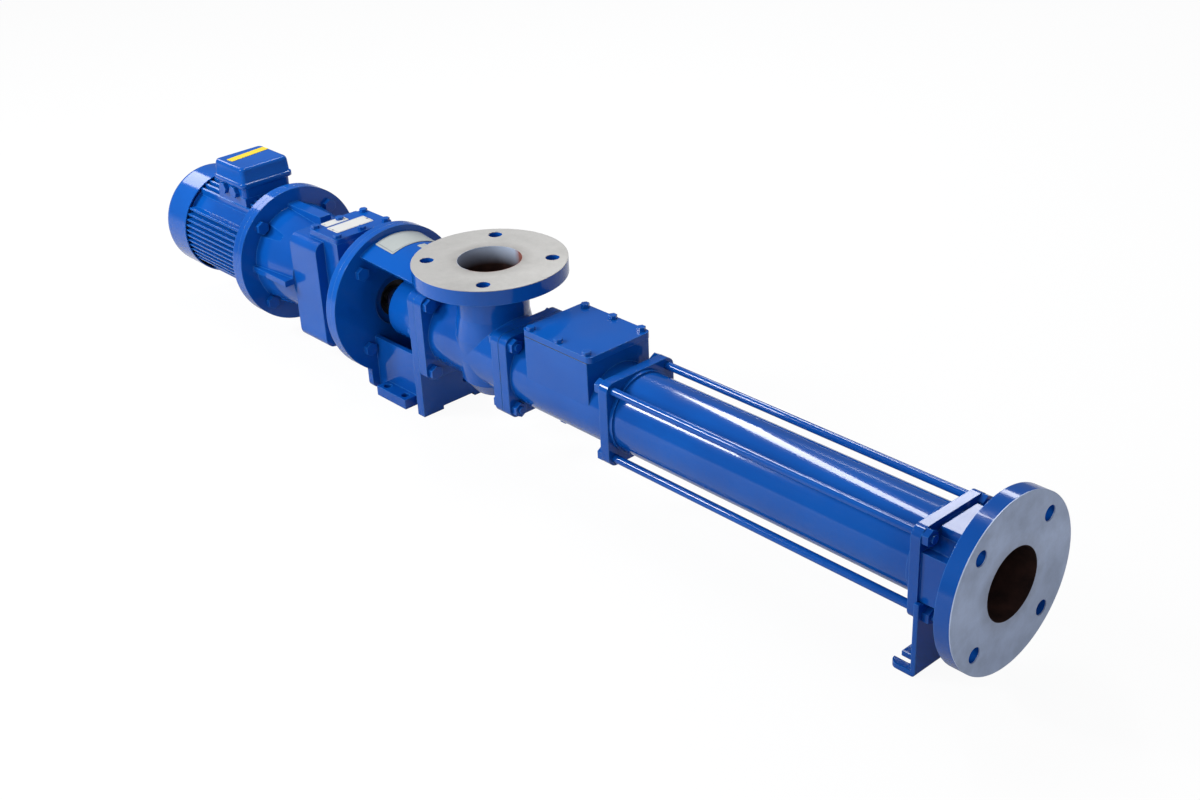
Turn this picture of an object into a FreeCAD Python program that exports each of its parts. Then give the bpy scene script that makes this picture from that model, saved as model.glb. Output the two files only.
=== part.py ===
"""Progressive cavity pump with a flanged geared motor, as a parametric FreeCAD document.

Frame: millimetres, origin at the centre of the lantern's foot on the base plane, +X along
the shaft towards the discharge flange, +Y to the far side, +Z up. Every body is drawn about
the shaft axis and lifted by the shaft height, so z = 0 in a sketch is the shaft axis.
"""
import FreeCAD, Part
import Sketcher
import math
import os
import re

Vector = FreeCAD.Vector
ALONG_X = FreeCAD.Rotation(Vector(0, 1, 0), 90)
ALONG_Y = FreeCAD.Rotation(Vector(1, 0, 0), -90)
ALONG_Z = FreeCAD.Rotation()

doc = FreeCAD.newDocument("ProgressiveCavityPump")

# Driving dimensions, in millimetres. Each is set by itself and written once.
SIZES = [
    # whole pump
    ("shaft_height", 118),
    ("lantern_front", 69),
    ("thread_gap", 0.05),
    ("fit_gap", 0.05),
    # ports, to the 80 mm nominal flange with four holes
    ("port_flange_radius", 100),
    ("port_flange_thickness", 20),
    ("port_circle_radius", 80),
    ("port_hole_radius", 9),
    ("port_bore_radius", 41),
    ("suction_axis_offset", 91),
    ("suction_face_height", 120),
    # lantern between the gearbox and the suction casing
    ("lantern_length", 131),
    ("lantern_plate_thickness", 14),
    ("lantern_plate_half", 60),
    ("lantern_ring_radius", 105),
    ("lantern_ring_thickness", 10),
    ("lantern_ring_bore_radius", 37),
    ("lantern_bolt_circle_radius", 79),
    ("lantern_box_half", 44),
    ("lantern_shell_radius", 97),
    ("lantern_shell_front_radius", 84),
    ("lantern_wall", 7),
    ("lantern_roof_angle", 68),
    ("window_bottom", -42),
    ("lantern_leg_half", 56),
    ("lantern_arch_half", 27),
    ("lantern_arch_height", 5),
    ("foot_pad_half_length", 32),
    ("foot_pad_width", 20),
    ("foot_pad_height", 14),
    ("foot_bolt_half_x", 20),
    ("foot_bolt_half_y", 54),
    ("foot_bolt_hole_radius", 5.5),
    # suction casing
    ("suction_casing_length", 166),
    ("casing_rear_flange_half", 60),
    ("casing_rear_flange_thickness", 15),
    ("casing_flange_half", 56),
    ("casing_flange_thickness", 14),
    ("casing_corner_radius", 12),
    ("casing_barrel_radius", 52),
    ("casing_bore_radius", 44),
    ("bulb_radius", 52),
    ("bulb_chamber_radius", 45),
    ("port_neck_radius", 47),
    ("casing_bolt_offset", 44),
    ("lantern_bolt_offset", 48),
    ("pocket_radius", 13),
    ("gasket_thickness", 1),
    # joint casing with its inspection cover
    ("joint_casing_length", 195),
    ("inspection_box_start", 46),
    ("inspection_box_length", 112),
    ("inspection_box_half", 50.5),
    ("inspection_box_top", 69),
    ("inspection_box_wall", 12),
    ("inspection_cover_overhang", 5),
    ("inspection_cover_thickness", 8),
    # stator and rotor
    ("eccentricity", 9),
    ("rotor_radius", 18),
    ("rotor_pitch", 147),
    ("rotor_clearance", 0.5),
    ("stator_span", 441),
    ("stator_tube_radius", 50.8),
    ("stator_tube_wall", 4.5),
    ("stator_seat_depth", 6),
    ("stator_collar_width", 5),
    ("stator_collar_height", 2.5),
    ("tie_rod_radius", 5),
    ("tie_rod_offset", 45),
    # discharge casing and its foot
    ("discharge_length", 85),
    ("end_plate_thickness", 12),
    ("end_plate_half", 55),
    ("discharge_neck_radius", 50),
    ("discharge_web_half", 29),
    ("foot_plate_thickness", 6),
    ("foot_prong_radius", 10),
    ("foot_half_width", 60),
    ("foot_reach", 34),
    ("foot_slot_radius", 6),
    ("foot_slot_offset", 44),
    ("foot_slot_depth", 17),
    ("foot_plate_top", -28),
    # drive shaft and shaft seal
    ("drive_shaft_radius", 16),
    ("drive_sleeve_radius", 20),
    ("drive_sleeve_length", 44),
    ("shaft_engagement", 38),
    ("output_shaft_radius", 12.5),
    ("joint_head_start", 37),
    ("joint_head_radius", 26),
    ("joint_head_length", 40),
    ("joint_head_web", 14),
    ("joint_cup_radius", 19),
    ("joint_ball_radius", 16.5),
    ("joint_groove_radius", 10.5),
    ("joint_groove_half", 5.5),
    ("joint_pin_radius", 3.5),
    ("rod_radius", 11),
    ("joint_gap", 1.5),
    ("boot_radius", 24),
    ("boot_length", 18),
    ("rotor_head_length", 40),
    ("seal_flange_radius", 55),
    ("seal_flange_thickness", 9),
    ("seal_body_radius", 43),
    ("seal_body_length", 36),
    ("seal_skirt_length", 72),
    ("seal_skirt_wall", 6),
    ("seal_pilot_radius", 38),
    ("seal_pilot_length", 13),
    ("seal_chamber_radius", 30),
    ("seal_wall", 7),
    ("seal_ring_width", 10),
    ("seal_ring_radius", 27),
    ("seal_bolt_circle_radius", 49.2),
    ("splash_ring_radius", 33),
    ("splash_ring_width", 6),
    # gearbox
    ("gearbox_length", 241),
    ("gearbox_flange_thickness", 10),
    ("gearbox_neck_length", 86),
    ("gearbox_front_length", 33),
    ("gearbox_block_length", 64),
    ("gearbox_block_half", 63),
    ("gearbox_front_half", 48),
    ("gearbox_top", 72),
    ("gearbox_bottom", -87),
    ("gearbox_wall", 11),
    ("gearbox_floor", 4.5),
    ("gearbox_corner_radius", 14),
    ("gearbox_cover_half", 48),
    ("gearbox_cover_length", 67),
    ("gearbox_pad_height", 5),
    ("gearbox_cover_thickness", 7),
    ("bell_radius", 66),
    ("bell_end_radius", 75),
    ("bell_flange_thickness", 10),
    ("bell_rib_reach", 80),
    ("bell_rib_width", 9),
    ("bolt_pocket_radius", 13),
    ("bell_wall", 9),
    ("gear_module", 1.5),
    ("input_pinion_teeth", 14),
    ("input_gear_teeth", 46),
    ("output_pinion_teeth", 16),
    ("output_gear_teeth", 44),
    ("input_gear_width", 14),
    ("output_gear_width", 18),
    ("gear_backlash", 0.24),
    ("countershaft_radius", 6),
    # motor, frame size 80
    ("motor_flange_radius", 100),
    ("motor_flange_thickness", 12),
    ("motor_bolt_circle_radius", 82.5),
    ("motor_body_length", 170),
    ("motor_tube_radius", 69),
    ("motor_tube_bore_radius", 64),
    ("motor_fin_radius", 77),
    ("motor_fin_thickness", 2.4),
    ("motor_fin_pitch", 8),
    ("motor_fin_half_count", 5),
    ("motor_shaft_radius", 10),
    ("motor_pinion_shaft_radius", 6),
    ("stator_core_length", 90),
    ("stator_core_bore_radius", 37),
    ("air_gap", 0.5),
    ("winding_length", 20),
    ("shield_thickness", 10),
    ("fan_cover_length", 62),
    ("fan_cover_radius", 79.5),
    ("fan_cover_wall", 1.8),
    ("fan_cover_rounding", 14),
    ("fan_radius", 66),
    ("fan_width", 22),
    ("terminal_box_half_x", 37),
    ("terminal_box_half_y", 40),
    ("terminal_box_start", 117),
    ("terminal_box_top", 95),
    ("terminal_lid_overhang", 4),
    ("terminal_lid_inset", 1),
    ("terminal_lid_rim", 9),
    ("terminal_lid_height", 30),
    ("terminal_box_wall", 4),
    # fasteners, across corners and diameters halved
    ("bolt_radius", 5),
    ("bolt_corner_radius", 9.8),
    ("bolt_head_height", 7),
    ("nut_height", 8),
    ("small_bolt_radius", 3),
    ("small_bolt_corner_radius", 5.8),
    ("small_bolt_head_height", 4.5),
]

# Stations and lengths that follow from the driving dimensions.
STATIONS = [
    ("lantern_rear", "lantern_front - lantern_length"),
    ("lantern_plate_rear", "lantern_front - lantern_plate_thickness"),
    ("suction_axis", "lantern_front + suction_axis_offset"),
    ("casing_joint", "lantern_front + suction_casing_length"),
    ("joint_casing_start", "casing_joint + gasket_thickness"),
    ("stator_start", "joint_casing_start + joint_casing_length"),
    ("stator_end", "stator_start + stator_span"),
    ("foot_plate_start", "stator_end + end_plate_thickness"),
    ("foot_plate_end", "foot_plate_start + foot_plate_thickness"),
    ("discharge_face", "stator_end + discharge_length"),
    ("gearbox_neck_start", "lantern_rear - gearbox_flange_thickness"),
    ("gearbox_front", "lantern_rear - gearbox_neck_length + gearbox_front_length"),
    ("block_front", "lantern_rear - gearbox_neck_length"),
    ("block_rear", "block_front - gearbox_block_length"),
    ("motor_joint", "lantern_rear - gearbox_length"),
    ("motor_body_start", "motor_joint - motor_flange_thickness"),
    ("motor_body_end", "motor_body_start - motor_body_length"),
    ("fan_cover_end", "motor_body_end + 2 - fan_cover_length"),
    ("gear_centres", "gear_module * (input_pinion_teeth + input_gear_teeth) / 2"),
    ("cavity_rear", "block_rear + gearbox_wall"),
    ("cavity_front", "gearbox_front - gearbox_wall - 7"),
    ("input_stage", "cavity_rear + 5"),
    ("output_stage", "input_stage + input_gear_width + 12"),
    ("seal_flange_rear", "lantern_plate_rear - seal_flange_thickness"),
    ("seal_body_rear", "lantern_plate_rear - seal_body_length"),
    ("seal_skirt_rear", "lantern_plate_rear - seal_skirt_length"),
    ("seal_face", "lantern_front + seal_pilot_length"),
    ("head_start", "lantern_front + joint_head_start"),
    ("head_end", "head_start + joint_head_length"),
    ("drive_ball", "head_start + joint_head_web + joint_cup_radius"),
    ("rotor_start", "stator_start - stator_seat_depth + 5"),
    ("rotor_head_start", "rotor_start - 8 - rotor_head_length"),
    ("rotor_ball", "rotor_start - 8 - joint_head_web - joint_cup_radius"),
    ("rod_span", "sqrt((rotor_ball - drive_ball)^2 + eccentricity^2)"),
    ("sleeve_start", "lantern_rear + 14"),
    ("output_shaft_end", "sleeve_start + shaft_engagement"),
    ("box_start", "joint_casing_start + inspection_box_start"),
    ("cover_level", "inspection_box_top + gasket_thickness"),
    ("terminal_centre", "motor_body_start - terminal_box_start + terminal_box_half_x"),
]

sheet = doc.addObject("Spreadsheet::Sheet", "Sizes")
for row, (alias, number) in enumerate(SIZES, 1):
    sheet.set("A%d" % row, alias)
    sheet.set("B%d" % row, str(number))
    sheet.setAlias("B%d" % row, alias)
doc.recompute()

OWNER = {alias: "Sizes." + alias for alias, _ in SIZES}


def full(text):
    """The expression with each alias given its sheet's name."""
    return re.sub(r"[A-Za-z_]\w*", lambda word: OWNER.get(word.group(), word.group()), text)


stations = doc.addObject("Spreadsheet::Sheet", "Stations")
for row, (alias, formula) in enumerate(STATIONS, 1):
    stations.set("A%d" % row, alias)
    stations.set("B%d" % row, "=" + full(formula))
    stations.setAlias("B%d" % row, alias)
    doc.recompute()
    OWNER[alias] = "Stations." + alias


def number(text):
    """What an expression is worth now."""
    return float(sheet.evalExpression(full(text)))


def number_of(alias):
    return int(number(alias))


def bind(thing, prop, text):
    thing.setExpression(prop, full(text))


def seat(thing, at):
    for letter, text in zip("xyz", at):
        bind(thing, "Placement.Base." + letter, text)


pieces = []


class Piece:
    """One sub-part: a body whose features take their sizes from the sheet."""

    def __init__(self, label, at=("0", "0", "shaft_height")):
        self.body = doc.addObject("PartDesign::Body", label)
        self.body.Label = label
        self.body.AllowCompound = True
        self.label = label
        self.count = 0
        seat(self.body, at)
        pieces.append(self)

    def feature(self, kind, note):
        self.count += 1
        made = self.body.newObject("PartDesign::" + kind, "%s_%s_%d" % (self.label, note, self.count))
        made.Refine = False
        return made

    def origin(self, role):
        """The body's own origin plane or axis of that role."""
        return [o for o in self.body.Origin.OriginFeatures if o.Role == role][0]

    def cylinder(self, note, start, radius, length, turn=ALONG_X, cut=False):
        made = self.feature("SubtractiveCylinder" if cut else "AdditiveCylinder", note)
        made.Placement = FreeCAD.Placement(Vector(), turn)
        seat(made, start)
        bind(made, "Radius", radius)
        bind(made, "Height", length)
        return made

    def cone(self, note, start, radius, end_radius, length, turn=ALONG_X, cut=False):
        made = self.feature("SubtractiveCone" if cut else "AdditiveCone", note)
        made.Placement = FreeCAD.Placement(Vector(), turn)
        seat(made, start)
        bind(made, "Radius1", radius)
        bind(made, "Radius2", end_radius)
        bind(made, "Height", length)
        return made

    def block(self, note, start, size, cut=False):
        made = self.feature("SubtractiveBox" if cut else "AdditiveBox", note)
        seat(made, start)
        for prop, text in zip(("Length", "Width", "Height"), size):
            bind(made, prop, text)
        return made

    def hexagon(self, note, start, corner_radius, height, turn=ALONG_X):
        made = self.feature("AdditivePrism", note)
        made.Polygon = 6
        made.Placement = FreeCAD.Placement(Vector(), turn)
        seat(made, start)
        bind(made, "Circumradius", corner_radius)
        bind(made, "Height", height)
        return made

    def sketch(self, note, plane, outline, offset):
        """A closed outline whose corners are bound to expressions."""
        self.count += 1
        made = self.body.newObject("Sketcher::SketchObject", "%s_%s_%d" % (self.label, note, self.count))
        made.AttachmentSupport = [(self.origin(plane), "")]
        made.MapMode = "FlatFace"
        for letter, text in zip("xyz", offset):
            bind(made, "AttachmentOffset.Base." + letter, text)
        places = [Vector(number(a), number(b), 0) for a, b in outline]
        count = len(places)
        for i in range(count):
            made.addGeometry(Part.LineSegment(places[i], places[(i + 1) % count]), False)
        for i in range(count):
            made.addConstraint(Sketcher.Constraint("Coincident", i, 2, (i + 1) % count, 1))
        for i, corner in enumerate(outline):
            for kind, axis, text, worth in zip(("DistanceX", "DistanceY"), (-2, -1), corner, places[i]):
                if text == "0":
                    made.addConstraint(Sketcher.Constraint("PointOnObject", i, 1, axis))
                else:
                    index = made.addConstraint(Sketcher.Constraint(kind, -1, 1, i, 1, worth))
                    bind(made, "Constraints[%d]" % index, text)
        return made

    def turned(self, note, outline, upright=False, at=("0", "0", "0"), cut=False, angle=None):
        """An outline of (along, radius) corners turned about X, or (radius, up) about Z.

        With an angle it is turned by half of that to each side of the upright plane.
        """
        profile = self.sketch(note, "XZ_Plane", outline, at)
        made = self.feature("Groove" if cut else "Revolution", note)
        made.Profile = profile
        made.ReferenceAxis = (profile, ["V_Axis" if upright else "H_Axis"])
        if angle:
            made.Midplane = True
            bind(made, "Angle", angle)
        else:
            made.Angle = 360
        return made

    def fillet(self, radius, chosen):
        """Rounds the edges that the test picks on the body so far."""
        doc.recompute()
        base = self.body.Tip
        names = ["Edge%d" % (i + 1) for i, edge in enumerate(base.Shape.Edges) if chosen(edge)]
        made = self.feature("Fillet", "rounded")
        made.Base = (base, names)
        bind(made, "Radius", radius)
        return made

    def bolt(self, at, length, turn=ALONG_X, back=False, small=False):
        """A hexagon head on a shank, seated at a point and running along the axis or back."""
        size = "small_bolt_" if small else "bolt_"
        axis = {0: 2, 1: 0, 2: 1}[[ALONG_Z, ALONG_X, ALONG_Y].index(turn)]
        head, shank = list(at), list(at)
        if back:
            shank[axis] = "%s - (%s)" % (at[axis], length)
        else:
            head[axis] = "%s - %shead_height" % (at[axis], size)
        self.hexagon("head", head, size + "corner_radius", size + "head_height", turn)
        self.cylinder("shank", shank, size + "radius", length, turn)


def four(half_a, half_b=None):
    """The four places at plus or minus the two half distances."""
    half_b = half_b or half_a
    return [("%s" % (a + half_a), "%s" % (b + half_b)) for a in ("-", "") for b in ("-", "")]


def ring(radius, count, first=0.0):
    """Places on a circle, as (across, up) expressions."""
    return [("(%s) * cos(%g deg)" % (radius, first + 360.0 * i / count),
             "(%s) * sin(%g deg)" % (radius, first + 360.0 * i / count)) for i in range(count)]


def runs_along(edge, axis):
    ends = [v.Point for v in edge.Vertexes]
    if len(ends) < 2:
        return False
    run = ends[1] - ends[0]
    return run.Length > 1e-6 and abs(abs(run.normalize()[axis]) - 1) < 1e-6


def square_plate(piece, note, start, half, thickness):
    """A square plate about the shaft axis with rounded corners."""
    piece.block(note, (start, "-" + half, "-" + half), (thickness, "2 * " + half, "2 * " + half))
    reach = number(half)
    piece.fillet("casing_corner_radius", lambda edge: runs_along(edge, 0)
                 and abs(abs(edge.Vertexes[0].Y) - reach) < 1e-3
                 and abs(abs(edge.Vertexes[0].Z) - reach) < 1e-3)


PORT_TURNS = ring("port_circle_radius", 4, 45)


# Motor
def motor_housing():
    piece = Piece("motor_housing")
    piece.cylinder("tube", ("motor_body_end", "0", "0"), "motor_tube_radius", "motor_body_length")
    reach = "2 * motor_fin_radius"
    low = "-motor_fin_half_count * motor_fin_pitch - motor_fin_thickness / 2"
    for note, start, size, role in (
            ("side_fins", ("motor_body_end", "-motor_fin_radius", low),
             ("motor_body_length", reach, "motor_fin_thickness"), "Z_Axis"),
            ("top_fins", ("motor_body_end", low, "-motor_fin_radius"),
             ("motor_body_length", "motor_fin_thickness", reach), "Y_Axis")):
        fin = piece.block(note, start, size)
        row = piece.feature("LinearPattern", note + "_row")
        row.Originals = [fin]
        row.Direction = (piece.origin(role), [""])
        bind(row, "Length", "2 * motor_fin_half_count * motor_fin_pitch")
        bind(row, "Occurrences", "2 * motor_fin_half_count + 1")
        piece.body.Tip = row
    piece.turned("trim", [("motor_body_end - 1", "motor_fin_radius"), ("motor_body_start + 1", "motor_fin_radius"),
                          ("motor_body_start + 1", "2 * motor_fin_radius"),
                          ("motor_body_end - 1", "2 * motor_fin_radius")], cut=True)
    piece.block("box_seat", ("terminal_centre - terminal_box_half_x", "-terminal_box_half_y",
                             "motor_tube_bore_radius - 8"),
                ("2 * terminal_box_half_x", "2 * terminal_box_half_y",
                 "motor_fin_radius - motor_tube_bore_radius + 10"))
    piece.cylinder("bore", ("motor_body_end - 1", "0", "0"), "motor_tube_bore_radius",
                   "motor_body_length + 2",
                   cut=True)
    return piece


def motor_shields():
    rear = Piece("motor_rear_shield")
    rear.turned("shield", [
        ("motor_body_end - shield_thickness", "motor_shaft_radius + 1"),
        ("motor_body_end - shield_thickness", "motor_tube_bore_radius + 8"),
        ("motor_body_end", "motor_tube_bore_radius + 8"),
        ("motor_body_end", "motor_tube_bore_radius"),
        ("motor_body_end + 5", "motor_tube_bore_radius"),
        ("motor_body_end + 5", "28"),
        ("motor_body_end + 14", "28"),
        ("motor_body_end + 14", "23.5"),
        ("motor_body_end", "23.5"),
        ("motor_body_end", "motor_shaft_radius + 1")])
    front = Piece("motor_flange_shield")
    front.turned("flange", [
        ("motor_body_start - 5", "23.5"),
        ("motor_body_start - 5", "28"),
        ("motor_body_start - 5", "motor_tube_bore_radius"),
        ("motor_body_start", "motor_tube_bore_radius"),
        ("motor_body_start", "motor_flange_radius"),
        ("motor_joint", "motor_flange_radius"),
        ("motor_joint", "motor_shaft_radius + 1"),
        ("motor_joint - 3", "motor_shaft_radius + 1"),
        ("motor_joint - 3", "23.5")])
    for across, up in ring("motor_bolt_circle_radius", 4, 45):
        front.cylinder("hole", ("motor_body_start - 1", across, up), "bolt_radius + thread_gap",
                       "motor_flange_thickness + 2", cut=True)


def bearing(label, parts):
    """Deep-groove bearings as solid rings: (start, x width, bore radius, outer radius, centre height)."""
    piece = Piece(label)
    for start, width, inner, outer, level in parts:
        piece.cylinder("ring", (start, "0", level), outer, width)
        piece.cylinder("bore", (start + " - 1", "0", level), inner + " + fit_gap", "%s + 2" % width, cut=True)
    return piece


def motor_inside():
    core = Piece("motor_stator_core")
    middle = "(motor_body_start + motor_body_end) / 2"
    start = middle + " - stator_core_length / 2"
    end = middle + " + stator_core_length / 2"
    bore = "stator_core_bore_radius + air_gap"
    core.turned("stack", [(start, bore), (end, bore), (end, "motor_tube_bore_radius"),
                          (start, "motor_tube_bore_radius")])
    windings = Piece("motor_windings")
    for near, far in ((start + " - winding_length", start), (end, end + " + winding_length")):
        windings.turned("end_turns", [(near, "stator_core_bore_radius + 7"), (far, "stator_core_bore_radius + 7"),
                                      (far, "motor_tube_bore_radius - 4"), (near, "motor_tube_bore_radius - 4")])
    rotor = Piece("motor_rotor_core")
    rotor.turned("cage", [(start + " - 6", "motor_shaft_radius + 12"), (start + " - 6", "stator_core_bore_radius - 4"),
                          (start, "stator_core_bore_radius"), (end, "stator_core_bore_radius"),
                          (end + " + 6", "stator_core_bore_radius - 4"), (end + " + 6", "motor_shaft_radius + 12"),
                          (end, "motor_shaft_radius"), (start, "motor_shaft_radius")])
    shaft = Piece("motor_shaft")
    shaft.turned("shaft", [("fan_cover_end + 14", "0"), ("fan_cover_end + 14", "motor_shaft_radius - 2"),
                           ("motor_body_end - 12", "motor_shaft_radius - 2"),
                           ("motor_body_end - 12", "motor_shaft_radius"),
                           ("motor_joint + 12", "motor_shaft_radius"),
                           ("motor_joint + 12", "motor_pinion_shaft_radius"),
                           ("input_stage + input_gear_width + 4", "motor_pinion_shaft_radius"),
                           ("input_stage + input_gear_width + 4", "0")])
    bearing("motor_bearings", [
        ("motor_body_end", "13", "motor_shaft_radius", "23.5", "0"),
        ("motor_joint - 16", "13", "motor_shaft_radius", "23.5", "0")])


def cooling_fan():
    piece = Piece("cooling_fan")
    start = "fan_cover_end + 16"
    piece.turned("disc", [
        (start, "motor_shaft_radius - 2"),
        (start, "motor_shaft_radius + 5"),
        (start + " + fan_width - 4", "motor_shaft_radius + 6"),
        (start + " + fan_width - 3", "fan_radius"),
        (start + " + fan_width", "fan_radius"),
        (start + " + fan_width", "motor_shaft_radius - 2")])
    blade = piece.block("blade", (start, "-1.5", "motor_shaft_radius + 4"),
                        ("fan_width - 2", "3", "fan_radius - motor_shaft_radius - 5"))
    turn = piece.feature("PolarPattern", "blades")
    turn.Originals = [blade]
    turn.Axis = (piece.origin("X_Axis"), [""])
    turn.Angle = 360
    turn.Occurrences = 7
    piece.body.Tip = turn


def fan_cover():
    piece = Piece("fan_cover")
    rear, front = "fan_cover_end", "motor_body_end + 2"
    piece.cylinder("hood", (rear, "0", "0"), "fan_cover_radius", "fan_cover_length")
    piece.fillet("fan_cover_rounding", lambda edge: edge.Curve.TypeId == "Part::GeomCircle"
                 and edge.BoundBox.XMax < number(rear) + 1)
    inner = "fan_cover_radius - fan_cover_wall"
    piece.turned("hollow", [
        (rear + " + fan_cover_wall", "0"),
        (rear + " + fan_cover_wall", "fan_cover_radius - fan_cover_rounding"),
        (rear + " + fan_cover_rounding * 0.45", inner + " - fan_cover_rounding * 0.33"),
        (rear + " + fan_cover_rounding", inner),
        (front + " + 1", inner),
        (front + " + 1", "0")], cut=True)
    for level in range(-3, 4):
        half = "sqrt(56^2 - %d^2)" % (level * 14)
        piece.block("grille", (rear + " - 1", "-" + half, "%d - 4" % (level * 14)), ("6", "2 * " + half, "8"), cut=True)
    return piece


def terminal_box():
    piece = Piece("terminal_box")
    low = "motor_fin_radius + 2"
    piece.block("box", ("terminal_centre - terminal_box_half_x", "-terminal_box_half_y", low),
                ("2 * terminal_box_half_x", "2 * terminal_box_half_y", "terminal_box_top - (%s)" % low))
    piece.fillet("8", lambda edge: runs_along(edge, 2))
    piece.block("hollow", ("terminal_centre - terminal_box_half_x + terminal_box_wall",
                           "-terminal_box_half_y + terminal_box_wall", low + " + terminal_box_wall"),
                ("2 * (terminal_box_half_x - terminal_box_wall)",
                 "2 * (terminal_box_half_y - terminal_box_wall)",
                 "terminal_box_top"), cut=True)
    lid = Piece("terminal_box_lid")
    lid.block("lid", ("terminal_centre - terminal_box_half_x - terminal_lid_overhang",
                      "-terminal_box_half_y - terminal_lid_overhang", "terminal_box_top"),
              ("2 * (terminal_box_half_x + terminal_lid_overhang)",
               "2 * (terminal_box_half_y + terminal_lid_overhang)", "terminal_lid_rim"))
    lid.fillet("8", lambda edge: runs_along(edge, 2))
    rim = number("terminal_box_top + terminal_lid_rim")
    lid.fillet("3", lambda edge: edge.BoundBox.ZMin > rim - 1e-3)
    lid.block("dome", ("terminal_centre - terminal_box_half_x + terminal_lid_inset",
                       "-terminal_box_half_y + terminal_lid_inset", "terminal_box_top + 1"),
              ("2 * (terminal_box_half_x - terminal_lid_inset)",
               "2 * (terminal_box_half_y - terminal_lid_inset)", "terminal_lid_height - 1"))
    lid.fillet("8", lambda edge: runs_along(edge, 2) and edge.BoundBox.ZMin > rim - 1e-3)
    top = number("terminal_box_top + terminal_lid_height")
    lid.fillet("7", lambda edge: edge.BoundBox.ZMin > top - 1e-3)
    lid.block("hollow", ("terminal_centre - terminal_box_half_x + terminal_box_wall",
                         "-terminal_box_half_y + terminal_box_wall", "terminal_box_top - 1"),
              ("2 * (terminal_box_half_x - terminal_box_wall)",
               "2 * (terminal_box_half_y - terminal_box_wall)",
               "terminal_lid_height - 7"), cut=True)
    glands = Piece("cable_plugs")
    for side in ("-14", "14"):
        at = ("terminal_centre + %s" % side, "-terminal_box_half_y - 7", "terminal_box_top - 9")
        glands.hexagon("plug", at, "9", "7", ALONG_Y)


def motor_flange_bolts():
    piece = Piece("motor_flange_bolts")
    for across, up in ring("motor_bolt_circle_radius", 4, 45):
        piece.bolt(("motor_joint + bell_flange_thickness", across, up),
                   "bell_flange_thickness + motor_flange_thickness", back=True)


# Gearbox
def gearbox_housing():
    piece = Piece("gearbox_housing")
    block_height = "gearbox_top - gearbox_bottom"
    piece.block("block", ("block_rear", "-gearbox_block_half", "gearbox_bottom"),
                ("gearbox_block_length", "2 * gearbox_block_half", block_height))
    piece.fillet("gearbox_corner_radius", lambda edge: runs_along(edge, 0))
    piece.block("front", ("block_front", "-gearbox_front_half", "gearbox_bottom"),
                ("gearbox_front_length", "2 * gearbox_front_half", block_height))
    piece.cone("neck", ("gearbox_front - 1", "0", "0"), "gearbox_front_half + 8", "lantern_ring_radius - 20",
               "gearbox_neck_start - gearbox_front + 1")
    piece.cylinder("flange", ("gearbox_neck_start", "0", "0"), "lantern_ring_radius",
                   "gearbox_flange_thickness")
    piece.cylinder("spigot", ("lantern_rear", "0", "0"), "lantern_ring_bore_radius - fit_gap", "5")
    bell_front = "motor_joint + bell_flange_thickness"
    bell_length = "block_rear - motor_joint - bell_flange_thickness + 1"
    piece.cone("bell", (bell_front, "0", "0"), "bell_end_radius", "bell_radius", bell_length)
    piece.block("side_ribs", (bell_front, "-bell_rib_reach", "-bell_rib_width / 2"),
                (bell_length, "2 * bell_rib_reach", "bell_rib_width"))
    piece.block("top_rib", (bell_front, "-bell_rib_width", "0"),
                (bell_length, "2 * bell_rib_width", "bell_rib_reach"))
    for across, up in ring("motor_bolt_circle_radius", 4, 45):
        piece.cylinder("bolt_pocket", (bell_front, across, up), "bolt_pocket_radius", "40", cut=True)
    piece.cylinder("bell_flange", ("motor_joint", "0", "0"), "motor_flange_radius", "bell_flange_thickness")
    piece.block("pad", ("gearbox_front - gearbox_cover_length", "-gearbox_cover_half", "gearbox_top - 4"),
                ("gearbox_cover_length", "2 * gearbox_cover_half", "gearbox_pad_height + 4"))
    piece.cone("bell_hollow", ("motor_joint - 1", "0", "0"), "bell_end_radius - bell_wall",
               "bell_radius - bell_wall",
               "block_rear - motor_joint", cut=True)
    piece.block("oil_space", ("cavity_rear", "-gearbox_front_half + gearbox_wall",
                              "gearbox_bottom + gearbox_floor"),
                ("cavity_front - cavity_rear", "2 * (gearbox_front_half - gearbox_wall)",
                 "%s - gearbox_floor - gearbox_wall" % block_height), cut=True)
    piece.block("filling_opening", ("gearbox_front - gearbox_cover_length + 12", "-gearbox_cover_half + 14",
                                    "gearbox_top - gearbox_wall - 1"),
                ("gearbox_cover_length - 36", "2 * (gearbox_cover_half - 14)", "40"), cut=True)
    piece.cylinder("output_bore", ("cavity_front - 1", "0", "0"), "26",
                   "lantern_rear - cavity_front + 8", cut=True)
    piece.cylinder("input_bore", ("block_rear - 2", "0", "0"), "motor_pinion_shaft_radius + 1",
                   "gearbox_wall + 4",
                   cut=True)
    for start in ("cavity_rear - 8", "cavity_front - 1"):
        piece.cylinder("countershaft_seat", (start, "0", "-gear_centres"), "16", "9", cut=True)
    for across, up in ring("motor_bolt_circle_radius", 4, 45):
        piece.cylinder("motor_hole", ("motor_joint - 1", across, up), "bolt_radius + thread_gap",
                       "bell_flange_thickness + 2", cut=True)
    for across, up in ring("lantern_bolt_circle_radius", 4, 45):
        piece.cylinder("lantern_thread", ("gearbox_neck_start - 1", across, up), "bolt_radius + thread_gap",
                       "gearbox_flange_thickness + 2", cut=True)
    return piece


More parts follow.
